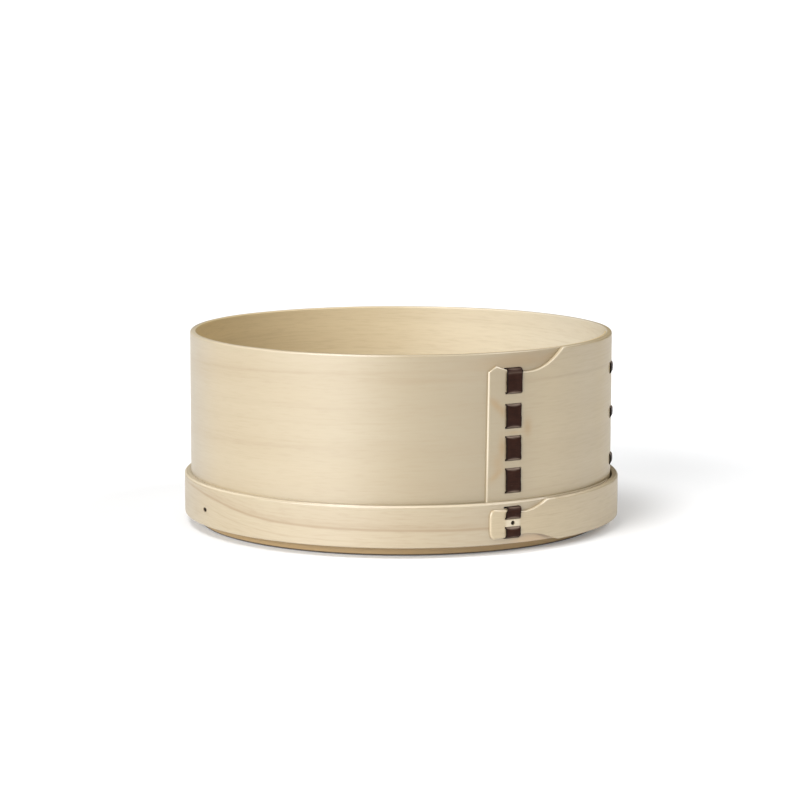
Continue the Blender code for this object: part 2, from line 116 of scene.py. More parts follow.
class Nodes:
    """A short way to write a node tree."""

    def __init__(self, name):
        self.material = bpy.data.materials.new(name)
        self.material.use_nodes = True
        self.tree = self.material.node_tree
        self.surface = self.tree.nodes["Principled BSDF"]

    def add(self, kind, **settings):
        node = self.tree.nodes.new(kind)
        for key, value in settings.items():
            setattr(node, key, value)
        return node

    def feed(self, node, name, value):
        socket = node.inputs[name]
        if isinstance(value, bpy.types.NodeSocket):
            self.tree.links.new(value, socket)
        else:
            socket.default_value = value

    def math(self, kind, a, b=0.0, c=0.0):
        node = self.add("ShaderNodeMath", operation=kind)
        for i, value in enumerate((a, b, c)):
            self.feed(node, i, value)
        return node.outputs[0]

    def grain(self):
        node = self.add("ShaderNodeAttribute", attribute_name="grain")
        split = self.add("ShaderNodeSeparateXYZ")
        self.tree.links.new(node.outputs["Vector"], split.inputs[0])
        return split.outputs[0], split.outputs[1], split.outputs[2]

    def vector(self, x, y, z):
        node = self.add("ShaderNodeCombineXYZ")
        for i, value in enumerate((x, y, z)):
            self.feed(node, i, value)
        return node.outputs[0]

    def noise(self, vector, scale=1.0, detail=2.0, rough=0.5, warp=0.0):
        node = self.add("ShaderNodeTexNoise")
        self.tree.links.new(vector, node.inputs["Vector"])
        for name, value in (("Scale", scale), ("Detail", detail), ("Roughness", rough), ("Distortion", warp)):
            node.inputs[name].default_value = value
        return node.outputs[0]

    def span(self, value, low, high, to_low=0.0, to_high=1.0, smooth=False):
        node = self.add("ShaderNodeMapRange", interpolation_type="SMOOTHSTEP" if smooth else "LINEAR")
        self.tree.links.new(value, node.inputs["Value"])
        for name, number in (("From Min", low), ("From Max", high), ("To Min", to_low), ("To Max", to_high)):
            node.inputs[name].default_value = number
        return node.outputs[0]

    def blend(self, share, a, b):
        node = self.add("ShaderNodeMix", data_type="RGBA")
        self.feed(node, 0, share)
        for socket, value in ((node.inputs[6], a), (node.inputs[7], b)):
            if isinstance(value, bpy.types.NodeSocket):
                self.tree.links.new(value, socket)
            else:
                socket.default_value = (*value, 1.0)
        return node.outputs[2]

    def band(self, value, middle, wide):
        """1 on a line, falling to 0 on both sides of it."""
        off = self.math("DIVIDE", self.math("SUBTRACT", value, middle), wide)
        return self.math("EXPONENT", self.math("MULTIPLY", self.math("MULTIPLY", off, off), -1.0))

    def bump(self, height, strength, distance):
        node = self.add("ShaderNodeBump")
        node.inputs["Strength"].default_value = strength
        node.inputs["Distance"].default_value = distance
        self.tree.links.new(height, node.inputs["Height"])
        self.tree.links.new(node.outputs[0], self.surface.inputs["Normal"])


def wood(
    name,
    pale,
    warm,
    line,
    ring=2.0,
    lines=0.30,
    slope=0.0,
    wander=2.2,
    curve=None,
    marks=(),
    dashes=0.5,
    inner=None,
    rough=(0.36, 0.46),
    specular=1.0,
    figure=(),
    stains_and_painted_shade=None,
    cut=None,
    tone_and_painted_light=(),
    ior=1.5,
    foot=None,
):
    """Bare softwood. The grain attribute holds millimetres along, into and across the board."""
    t = Nodes(name)
    along, depth, across = t.grain()
    # Growth rings run along the board and wander a little.
    slow = t.noise(t.vector(t.math("MULTIPLY", along, 0.0045), t.math("MULTIPLY", depth, 0.02), t.math("MULTIPLY", across, 0.012)), 1.0, 2.0)
    rho = t.math("ADD", across, t.math("MULTIPLY", depth, 0.55))
    rho = t.math("ADD", rho, t.math("MULTIPLY", t.math("SUBTRACT", slow, 0.5), wander * 4.0))
    if slope:
        rho = t.math("SUBTRACT", rho, t.math("MULTIPLY", along, slope))
    if curve:
        start, width, height = curve
        turn = t.math("TANH", t.math("DIVIDE", t.math("SUBTRACT", along, start), width))
        rho = t.math("ADD", rho, t.math("MULTIPLY", t.math("SUBTRACT", turn, 1.0), height))
    ring_at = t.math("DIVIDE", rho, ring)
    coarse = t.noise(t.vector(t.math("MULTIPLY", along, 0.0015), t.math("MULTIPLY", ring_at, 0.16), 7.3), 1.0, 2.0)
    fine = t.noise(t.vector(t.math("MULTIPLY", along, 0.004), t.math("MULTIPLY", ring_at, 1.0), 3.1), 1.0, 3.0, 0.6)
    fibre = t.noise(t.vector(t.math("MULTIPLY", along, 0.035), t.math("MULTIPLY", depth, 1.6), t.math("MULTIPLY", across, 3.4)), 1.0, 4.0, 0.65)
    cloud = t.noise(t.vector(t.math("MULTIPLY", along, 0.016), t.math("MULTIPLY", depth, 0.05), t.math("MULTIPLY", across, 0.05)), 1.0, 2.0)
    dash = t.noise(t.vector(t.math("MULTIPLY", along, 0.12), t.math("MULTIPLY", depth, 0.7), t.math("MULTIPLY", rho, 1.25)), 1.0, 2.0, 0.55)
    late = t.span(fine, 0.50, 0.74, 0.0, 1.0, smooth=True)
    wide_band = t.span(coarse, 0.38, 0.68, 0.0, 1.0, smooth=True)
    colour = t.blend(t.span(cloud, 0.3, 0.7, 0.0, 1.0), pale, warm)
    for start, end, shades, strengths in tone_and_painted_light:
        # Ramps of value and saturation along the board, by azimuth: mostly painted light and shade matched to where
        # the lamps fall, partly the board's own tone.
        shade = t.add("ShaderNodeHueSaturation")
        t.tree.links.new(colour, shade.inputs["Color"])
        t.tree.links.new(t.span(along, start, end, *shades, smooth=True), shade.inputs["Value"])
        t.tree.links.new(t.span(along, start, end, *strengths, smooth=True), shade.inputs["Saturation"])
        colour = shade.outputs[0]
    if inner:
        # The face that was the inside of the bend, duller and lighter; its colour runs from the lit side's to a
        # warmer, deeper colour of painted shade on the shaded side.
        inside = t.blend(t.span(along, inner[2][0], inner[2][1], 0.0, 1.0), inner[0], inner[1])
        colour = t.blend(t.span(depth, -1.9, -1.5, 1.0, 0.0), colour, inside)
    share = t.math("MULTIPLY", wide_band, lines * 0.35)
    share = t.math("ADD", share, t.math("MULTIPLY", late, lines * 0.4))
    share = t.math("ADD", share, t.span(dash, 0.42, 0.78, 0.0, lines * dashes, smooth=True))
    share = t.math("ADD", share, t.span(fibre, 0.3, 0.75, 0.0, lines * 0.3))
    if inner:
        share = t.math("MULTIPLY", share, t.span(depth, -1.9, -1.5, 0.75, 1.0))
    for middle, wide, strength, low, high in marks:
        seen = t.band(t.math("ADD", rho, t.math("MULTIPLY", t.math("SUBTRACT", fine, 0.5), 0.7)), middle, wide)
        seen = t.math("MULTIPLY", seen, t.span(along, low[0], low[1], 0.0, 1.0, smooth=True))
        seen = t.math("MULTIPLY", seen, t.span(along, high[0], high[1], 1.0, 0.0, smooth=True))
        share = t.math("ADD", share, t.math("MULTIPLY", seen, strength))
    # Patches of warmer figure: where along, how high, half length, half width, slant, strength.
    for where, height, half_long, half_wide, slant, strength in figure:
        off = t.math("SUBTRACT", along, where)
        aside = t.math("SUBTRACT", t.math("SUBTRACT", across, height), t.math("MULTIPLY", off, slant))
        aside = t.math("ADD", aside, t.math("MULTIPLY", t.math("SUBTRACT", cloud, 0.5), min(2.0, half_wide)))
        seen = t.math("MULTIPLY", t.band(off, 0.0, half_long), t.band(aside, 0.0, half_wide))
        share = t.math("ADD", share, t.math("MULTIPLY", seen, strength))
    share = t.math("MINIMUM", share, 1.0)
    colour = t.blend(share, colour, line)
    # Warm stains and patches of painted shade, laid on in the same way.
    for where, height, half_long, half_wide, slant, strength, *own in stains_and_painted_shade[1] if stains_and_painted_shade else ():
        off = t.math("SUBTRACT", along, where)
        aside = t.math("SUBTRACT", t.math("SUBTRACT", across, height), t.math("MULTIPLY", off, slant))
        aside = t.math("ADD", aside, t.math("MULTIPLY", t.math("SUBTRACT", cloud, 0.5), min(2.0, half_wide)))
        seen = t.math("MULTIPLY", t.band(off, 0.0, half_long), t.band(aside, 0.0, half_wide))
        seen = t.math("MULTIPLY", seen, t.span(fibre, 0.3, 0.7, strength * 0.8, strength))
        colour = t.blend(seen, colour, own[0] if own else stains_and_painted_shade[0])
    # Short pores and flecks, a little darker.
    fleck = t.noise(t.vector(t.math("MULTIPLY", along, 0.16), t.math("MULTIPLY", depth, 2.0), t.math("MULTIPLY", across, 4.5)), 1.0, 1.0)
    fleck = t.span(fleck, 0.70, 0.80, 0.0, 0.16, smooth=True)
    colour = t.blend(fleck, colour, tuple(c * 0.72 for c in line))
    if foot:
        # Painted contact shade: the edge it stands on is darkened.
        colour = t.blend(t.span(across, foot[0], foot[1], 1.0, 0.0, smooth=True), colour, foot[2])
    if cut:
        # Painted highlight: bevelled edges and top faces are blended towards the paler cut colour by the per-vertex
        # highlight attribute.
        painted_highlight_amount = t.add("ShaderNodeAttribute", attribute_name="painted_highlight").outputs["Fac"]
        colour = t.blend(t.math("MULTIPLY", painted_highlight_amount, t.span(fibre, 0.2, 0.6, 0.7, 1.0)), colour, cut)
    t.feed(t.surface, "Base Color", colour)
    t.feed(t.surface, "Roughness", t.span(fibre, 0.3, 0.7, rough[0], rough[1]))
    t.surface.inputs["IOR"].default_value = ior
    if inner:
        t.feed(t.surface, "Specular IOR Level", t.span(depth, -1.9, -1.5, specular * 0.4, specular))
    else:
        t.surface.inputs["Specular IOR Level"].default_value = specular
    height = t.math("SUBTRACT", t.math("MULTIPLY", fibre, 0.8), t.math("MULTIPLY", late, 0.35))
    t.bump(height, 0.22, 0.00006)
    return t.material


def bark(name):
    """Dark bark, scraped smooth, with pale pores across the strip and a dull sheen."""
    t = Nodes(name)
    along, depth, across = t.grain()
    cloud = t.noise(t.vector(t.math("MULTIPLY", along, 0.22), depth, t.math("MULTIPLY", across, 0.30)), 1.0, 3.0)
    streak = t.noise(t.vector(t.math("MULTIPLY", along, 2.6), depth, t.math("MULTIPLY", across, 0.24)), 1.0, 3.0, 0.6)
    pore = t.noise(t.vector(t.math("MULTIPLY", along, 1.5), depth, t.math("MULTIPLY", across, 0.45)), 1.0, 1.0)
    colour = t.blend(t.span(cloud, 0.32, 0.68, 0.0, 1.0), (0.0215, 0.0075, 0.0042), (0.030, 0.0112, 0.0068))
    colour = t.blend(t.span(streak, 0.45, 0.75, 0.0, 0.5), colour, (0.010, 0.0042, 0.0034))
    colour = t.blend(t.span(pore, 0.70, 0.78, 0.0, 0.25, smooth=True), colour, (0.08, 0.047, 0.036))
    # Painted highlight where the strip bends into a slit: paler there.
    painted_highlight_amount = t.add("ShaderNodeAttribute", attribute_name="painted_highlight").outputs["Fac"]
    painted_highlight_amount = t.math("MULTIPLY", painted_highlight_amount, t.span(streak, 0.25, 0.6, 0.25, 0.75))
    colour = t.blend(painted_highlight_amount, colour, (0.30, 0.23, 0.18))
    # Painted shade along both edges of the strip: darker there.
    edge = t.span(t.math("ABSOLUTE", across), 2.7, 3.55, 0.0, 0.85, smooth=True)
    colour = t.blend(edge, colour, (0.008, 0.004, 0.003))
    t.feed(t.surface, "Base Color", colour)
    t.feed(t.surface, "Roughness", t.span(streak, 0.3, 0.7, 0.36, 0.52))
    t.surface.inputs["Specular IOR Level"].default_value = 0.08
    t.bump(t.math("ADD", streak, t.math("MULTIPLY", cloud, 0.6)), 0.5, 0.00012)
    return t.material


def bamboo(name, pale, dark):
    """The end of a bamboo peg: vessels as darker dots in a paler ground."""
    t = Nodes(name)
    along, depth, across = t.grain()
    dots = t.add("ShaderNodeTexVoronoi", feature="F1")
    t.tree.links.new(t.vector(t.math("MULTIPLY", along, 0.15), t.math("MULTIPLY", depth, 2.6), t.math("MULTIPLY", across, 2.6)), dots.inputs["Vector"])
    dots.inputs["Scale"].default_value = 1.0
    fibre = t.noise(t.vector(t.math("MULTIPLY", along, 0.2), t.math("MULTIPLY", depth, 5.0), t.math("MULTIPLY", across, 5.0)), 1.0, 3.0)
    colour = t.blend(t.span(dots.outputs["Distance"], 0.12, 0.38, 1.0, 0.0, smooth=True), pale, dark)
    colour = t.blend(t.span(fibre, 0.4, 0.7, 0.0, 0.5), colour, tuple(c * 0.6 for c in dark))
    t.feed(t.surface, "Base Color", colour)
    t.feed(t.surface, "Roughness", t.span(fibre, 0.3, 0.7, 0.6, 0.8))
    t.surface.inputs["Specular IOR Level"].default_value = 0.15
    t.bump(fibre, 0.3, 0.0001)
    return t.material


# ---------------------------------------------------------------- mesh helpers


def publish(name, vertices, faces, grain, material, body, node, sharp=38.0, painted_highlight=None):
    """A piece from plain lists, riding on its body and standing for its node."""
    mesh = bpy.data.meshes.new(name)
    mesh.from_pydata([tuple(v) for v in vertices], [], faces)
    mesh.validate()
    held = mesh.attributes.new("grain", "FLOAT_VECTOR", "POINT")
    held.data.foreach_set("vector", [float(x) for g in grain for x in g])
    # Per-vertex share of painted highlight.
    if painted_highlight:
        painted_highlight_amount = mesh.attributes.new("painted_highlight", "FLOAT", "POINT")
        painted_highlight_amount.data.foreach_set("value", [float(x) for x in painted_highlight])
    mesh.materials.append(material)
    mesh.shade_smooth()
    mesh.set_sharp_from_angle(angle=sharp * DEG)
    mesh.update()
    thing = bpy.data.objects.new(name, mesh)
    bpy.context.scene.collection.objects.link(thing)
    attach(thing, body)
    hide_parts(node)
    return thing


def sheet(columns, rows, place, keep, closed=False):
    """Two skins over a grid of columns and rows, with walls around every missing cell.
    place gives the outer and the inner point and their grain, and keep says which cells exist."""
    vertices, grain, faces, index = [], [], [], {}
    painted_highlight = []

    def vertex(side, i, j):
        i = i % columns if closed else i
        if (side, i, j) not in index:
            outer, inner, outer_grain, inner_grain, painted_highlight_amount = place(i, j)
            for s, point, g in ((0, outer, outer_grain), (1, inner, inner_grain)):
                index[s, i, j] = len(vertices)
                vertices.append(point)
                grain.append(g)
                painted_highlight.append(painted_highlight_amount[s])
        return index[side, i, j]

    wide = columns if closed else columns - 1

    def there(i, j):
        if not 0 <= j < rows - 1:
            return False
        if closed:
            i %= columns
        elif not 0 <= i < wide:
            return False
        return keep(i, j)

    for i in range(wide):
        for j in range(rows - 1):
            if not there(i, j):
                continue
            corners = ((i, j), (i + 1, j), (i + 1, j + 1), (i, j + 1))
            outer = [vertex(0, *c) for c in corners]
            inner = [vertex(1, *c) for c in corners]
            faces.append(outer)
            faces.append(inner[::-1])
            for k, (di, dj) in enumerate(((0, -1), (1, 0), (0, 1), (-1, 0))):
                if not there(i + di, j + dj):
                    a, b = k, (k + 1) % 4
                    faces.append([outer[b], outer[a], inner[a], inner[b]])
    return vertices, faces, grain, painted_highlight


def distance_to(points, x, y):
    """Distance from (x, y) to a chain of points."""
    best = 1e9
    for (ax, ay), (bx, by) in zip(points, points[1:]):
        dx, dy = bx - ax, by - ay
        share = clamp(((x - ax) * dx + (y - ay) * dy) / max(1e-12, dx * dx + dy * dy))
        best = min(best, math.hypot(ax + dx * share - x, ay + dy * share - y))
    return best


def merged(values, least):
    """The values in order, without any that follows another by less than least."""
    kept = []
    for value in sorted(values):
        if not kept or value - kept[-1] >= least:
            kept.append(value)
    return kept


def lines_between(fixed, start, end, most, least):
    """Fixed lines from start to end, with more lines where they stand far apart."""
    fixed = merged([v for v in fixed if start < v < end] + [start], least)
    if end - fixed[-1] < least:
        fixed[-1] = end
    else:
        fixed.append(end)
    out = [fixed[0]]
    for a, b in zip(fixed, fixed[1:]):
        many = max(1, math.ceil((b - a) / most))
        out += [mix(a, b, k / many) for k in range(1, many + 1)]
    return out


def round_in(distance, radius):
    """How far a face lies back at this distance from an edge of this radius."""
    if distance >= radius or radius <= 0.0:
        return 0.0
    return radius - math.sqrt(max(0.0, radius * radius - (radius - distance) ** 2))


def bevel_in(distance, wide):
    """The same for a flat bevel."""
    return max(0.0, wide - distance)


# ---------------------------------------------------------------- wall strip


def wall_middle(share):
    return mix(WALL_RADIUS - WALL_DIP, WALL_RADIUS + WALL_SWELL - WALL_THICK, share)


def wall_radii(azimuth):
    span = WALL_INNER_END_AT - WALL_TONGUE_AT
    if azimuth <= WALL_INNER_END_AT:
        share = max(0.0, (azimuth - WALL_TONGUE_AT) / span)
        middle = wall_middle(share)
        return middle + LAYER_GAP / 2, middle + mix(WALL_TONGUE_THICK, WALL_THICK, share)
    if azimuth >= 360.0 + WALL_TONGUE_AT:
        share = min(1.0, (azimuth - 360.0 - WALL_TONGUE_AT) / span)
        middle = wall_middle(share)
        return middle - mix(WALL_THICK, WALL_INNER_END_THICK, share), middle - LAYER_GAP / 2
    swell = 1.0 - ease(WALL_INNER_END_AT, WALL_SWELL_TO, azimuth)
    dip = ease(WALL_DIP_FROM, 360.0 + WALL_TONGUE_AT, azimuth)
    outer = WALL_RADIUS + WALL_SWELL * swell - (WALL_DIP + LAYER_GAP / 2) * dip
    return outer - WALL_THICK + LAYER_GAP / 2 * (swell + dip), outer


def wall_wobble(azimuth, z):
    return 0.05 * wave(azimuth * 0.11, 1.0) + 0.03 * wave(azimuth * 0.07 + z * 0.05, 2.0)


def tongue_top(azimuth):
    if azimuth >= TONGUE_MEETS_RIM_AT:
        return RIM
    if azimuth >= TONGUE_NECK_TO:
        share = (azimuth - TONGUE_NECK_TO) / (TONGUE_MEETS_RIM_AT - TONGUE_NECK_TO)
        return mix(TONGUE_NECK, RIM, share**TONGUE_RISE_POWER)
    if azimuth >= TONGUE_NECK_FROM:
        return TONGUE_NECK
    if azimuth >= TONGUE_PEAK_AT:
        return mix(TONGUE_PEAK, TONGUE_NECK, (azimuth - TONGUE_PEAK_AT) / (TONGUE_NECK_FROM - TONGUE_PEAK_AT))
    corner = WALL_TONGUE_AT + WALL_TONGUE_SLANT / 2
    return mix(TONGUE_SHOULDER, TONGUE_PEAK, clamp((azimuth - corner) / (TONGUE_PEAK_AT - corner)))


def side_lean(z):
    """The side column of stitches leans back a little towards its foot."""
    (a, at_a), (b, at_b), (c, at_c) = SIDE_LEAN
    if z > b:
        return mix(at_b, at_a, clamp((z - b) / (a - b)))
    return mix(at_c, at_b, clamp((z - c) / (b - c)))


def make_wall(material):
    unit = WALL_RADIUS * DEG
    half_front = (FRONT_WIDE / 2 + 0.22) / unit
    half_side = (SIDE_WIDE / 2 + 0.22) / unit
    end = 360.0 + WALL_INNER_END_AT
    slits = []
    for at, half, stitches in ((FRONT_AT, half_front, FRONT_STITCHES), (SIDE_AT, half_side, SIDE_STITCHES)):
        for pair in stitches:
            here = at + (side_lean(sum(pair) / 2) if at == SIDE_AT else 0.0)
            slits += [(here - half, here + half, z - SLIT_HALF, z + SLIT_HALF) for z in pair]

    tip = [WALL_TONGUE_AT + d / unit for d in (0.0, 0.2, 0.4, 0.6, 0.75, 0.95, 1.5)]
    turns = tip + [WALL_TONGUE_AT + WALL_TONGUE_SLANT / 2, TONGUE_PEAK_AT, TONGUE_NECK_FROM, TONGUE_NECK_TO]
    turns += [TONGUE_NECK_TO + (TONGUE_MEETS_RIM_AT - TONGUE_NECK_TO) * k / 24 for k in range(25)]
    turns += [end - d / unit for d in (0.3, 0.6, 1.2)]
    for low, high, _, _ in slits:
        turns += [low, high, low + 360.0, high + 360.0]
    turns = lines_between(turns, WALL_TONGUE_AT, end, 1.5, 0.1)

    flat_to, tight = 70.0, 1.0
    heights = [z for _, _, low, high in slits for z in (low, high)]
    heights = lines_between([WALL_BOTTOM + d for d in (0.1, 0.3, 0.6)] + heights, WALL_BOTTOM, RIM - tight, 5.0, 0.09)
    heights += [RIM - d for d in (0.75, 0.55, 0.38, 0.22, 0.1, 0.03, 0.0)]

    corner = WALL_TONGUE_AT + WALL_TONGUE_SLANT / 2
    outline = [((WALL_TONGUE_AT - WALL_TONGUE_SLANT / 2) * unit, WALL_BOTTOM - 5.0), (corner * unit, TONGUE_SHOULDER)]
    steps = 120
    for k in range(steps + 1):
        a = mix(corner, 26.0, k / steps)
        outline.append((a * unit, tongue_top(a)))

    def spot(i, j):
        """Azimuth along the strip and height of a grid point."""
        turn, z = turns[i], heights[j]
        if turn < TONGUE_MEETS_RIM_AT and z > flat_to:
            top = tongue_top(turn)
            if z > RIM - tight - 1e-6:
                z = top - (RIM - z)
            else:
                z = mix(flat_to, top - tight, (z - flat_to) / (RIM - tight - flat_to))
        lean = clamp(1.0 - (turn - WALL_TONGUE_AT) / 4.0) if turn < 0.0 else 0.0
        return turn + lean * WALL_TONGUE_SLANT * ((z - 4.5) / 69.7 - 0.5), z

    def place(i, j):
        turn, z = spot(i, j)
        inner, outer = wall_radii(turn)
        outer_in = inner_in = painted_highlight_amount = 0.0
        along = turn * unit
        # Painted highlight along the rim's top, stronger or weaker by azimuth where the lamps fall on it.
        pale = mix(0.15, 0.82, ease(222.0, 250.0, turn)) * (1.0 - ease(289.0, 302.0, turn)) + 0.28 * ease(318.0, 328.0, turn)
        flat = pale * (1.0 - ease(0.05, 0.3, RIM - z)) if turn > TONGUE_MEETS_RIM_AT else 0.0
        if turn < 26.0:
            plain = ease(TONGUE_MEETS_RIM_AT - 3.0, 26.0, turn)
            gap = distance_to(outline, along, z)
            rise, low_down = ease(2.0, 7.0, turn), 1.0 - ease(20.0, 44.0, z)
            bevel = mix(TONGUE_BEVEL, TONGUE_BEVEL_RISE, max(rise, low_down))
            outer_in = mix(bevel_in(gap, bevel), round_in(RIM - z, 0.7), plain)
            # Painted highlight along the tongue's bevelled edges.
            painted_highlight_amount = mix(0.66, 0.36, max(rise, low_down)) * (1.0 - ease(bevel * 0.7, bevel * 1.05, gap))
        else:
            # The upper layer of the lap covers the edge of the one inside it.
            under = ease(360.0 + 14.0, 360.0 + 22.0, turn)
            outer_in = round_in(RIM - z, mix(0.75, 0.12, under))
            painted_highlight_amount = max(flat, 0.7 * pale * (1.0 - ease(0.35, 0.75, RIM - z)) * (1.0 - under))
            from_end = (turns[-1] - turn) * unit
            inner_in = bevel_in(from_end, 0.6)
        lap = 1.0 - ease(WALL_INNER_END_AT - 2.0, WALL_INNER_END_AT + 2.0, turn)
        inner_in = max(inner_in, round_in(RIM - z, mix(0.6, 0.1, lap)))
        low = round_in(z - WALL_BOTTOM, 0.4)
        thick = outer - inner
        outer_in, inner_in = min(max(outer_in, low), thick * 0.7), min(max(inner_in, low), thick * 0.28)
        # Hand-bent wood is never quite true.
        wobble = wall_wobble(turn, z)
        at_rim = 0.06 * wave(turn * 0.06, 4.0) * ease(40.0, RIM, z)
        outer += wobble - outer_in
        inner += wobble + inner_in
        return (
            polar(outer, turn, z + at_rim),
            polar(inner, turn, z + at_rim),
            (along, outer - 90.0, z),
            (along, inner - 90.0, z),
            (painted_highlight_amount, flat),
        )

    def keep(i, j):
        turn, z = (turns[i] + turns[i + 1]) / 2, (heights[j] + heights[j + 1]) / 2
        for low, high, under, over in slits:
            if not under < z < over:
                continue
            # The topmost slit lies above the tongue, in the layer under it alone.
            layers = (360.0,) if z > flat_to else (0.0, 360.0)
            if any(low + layer < turn < high + layer for layer in layers):
                return False
        return True

    vertices, faces, grain, painted_highlight = sheet(len(turns), len(heights), place, keep)
    return publish("wall_strip", vertices, faces, grain, material, "basket", "wall_band", painted_highlight=painted_highlight)


# ---------------------------------------------------------------- base hoop


def hoop_middle(share):
    return mix(HOOP_LAP_RADIUS + HOOP_THICK, HOOP_LAP_RADIUS + HOOP_INNER_END_THICK, share)


def hoop_radii(azimuth):
    span = HOOP_INNER_END_AT - HOOP_TONGUE_AT
    if azimuth <= HOOP_INNER_END_AT:
        share = max(0.0, (azimuth - HOOP_TONGUE_AT) / span)
        middle = hoop_middle(share)
        return middle + LAYER_GAP / 2, middle + mix(HOOP_TONGUE_THICK, HOOP_THICK, share)
    if azimuth >= 360.0 + HOOP_TONGUE_AT:
        share = min(1.0, (azimuth - 360.0 - HOOP_TONGUE_AT) / span)
        return HOOP_LAP_RADIUS, hoop_middle(share) - LAYER_GAP / 2
    back = 1.0 - ease(HOOP_INNER_END_AT, HOOP_INNER_END_AT + HOOP_EASE, azimuth)
    widen = ease(320.0, 360.0 + HOOP_TONGUE_AT, azimuth)
    inner = HOOP_INNER_RADIUS + (hoop_middle(1.0) + LAYER_GAP / 2 - HOOP_INNER_RADIUS) * back
    inner += (HOOP_LAP_RADIUS - HOOP_INNER_RADIUS) * widen
    return inner, inner + HOOP_THICK - LAYER_GAP / 2 * (back + widen)


def hoop_edges(azimuth):
    if azimuth >= HOOP_NECK_AT:
        up = min(1.0, (azimuth - HOOP_NECK_AT) / (HOOP_MEETS_TOP_AT - HOOP_NECK_AT))
        down = min(1.0, (azimuth - HOOP_NECK_AT) / (HOOP_MEETS_BOTTOM_AT - HOOP_NECK_AT))
        return mix(HOOP_NECK_BOTTOM, HOOP_BOTTOM, down**1.68), mix(HOOP_NECK_TOP, HOOP_TOP, up**1.75)
    if azimuth >= HOOP_CORNER_AT:
        share = (azimuth - HOOP_CORNER_AT) / (HOOP_NECK_AT - HOOP_CORNER_AT)
        return mix(HOOP_CORNER_BOTTOM, HOOP_NECK_BOTTOM, share), mix(HOOP_CORNER_TOP, HOOP_NECK_TOP, share)
    share = clamp((azimuth - HOOP_TONGUE_AT) / (HOOP_CORNER_AT - HOOP_TONGUE_AT))
    bulge = math.sqrt(1.0 - (1.0 - share) ** 2)
    return mix(HOOP_TIP_BOTTOM, HOOP_CORNER_BOTTOM, bulge), mix(HOOP_TIP_TOP, HOOP_CORNER_TOP, bulge)


def hoop_sag(azimuth, z):
    """How far the strip lies below its level, wound a little aslant, away from its tongue."""
    sag = (1.0 - clamp((azimuth - HOOP_SAG_FROM) / (HOOP_SAG_TO - HOOP_SAG_FROM))) * ease(4.5, 13.4, azimuth)
    low, high = 1.0 - ease(HOOP_BOTTOM, 9.2, z), ease(15.8, HOOP_TOP, z)
    return sag * (HOOP_SAG_BOTTOM * low + HOOP_SAG_TOP * high) + 0.15 * ease(359.0, 366.0, azimuth) * low


def hoop_lip(z):
    """The bevel along the hoop's upper edge, and the eased lower one."""
    return max(bevel_in(HOOP_TOP - z, 0.62), round_in(z - HOOP_BOTTOM, 0.45))


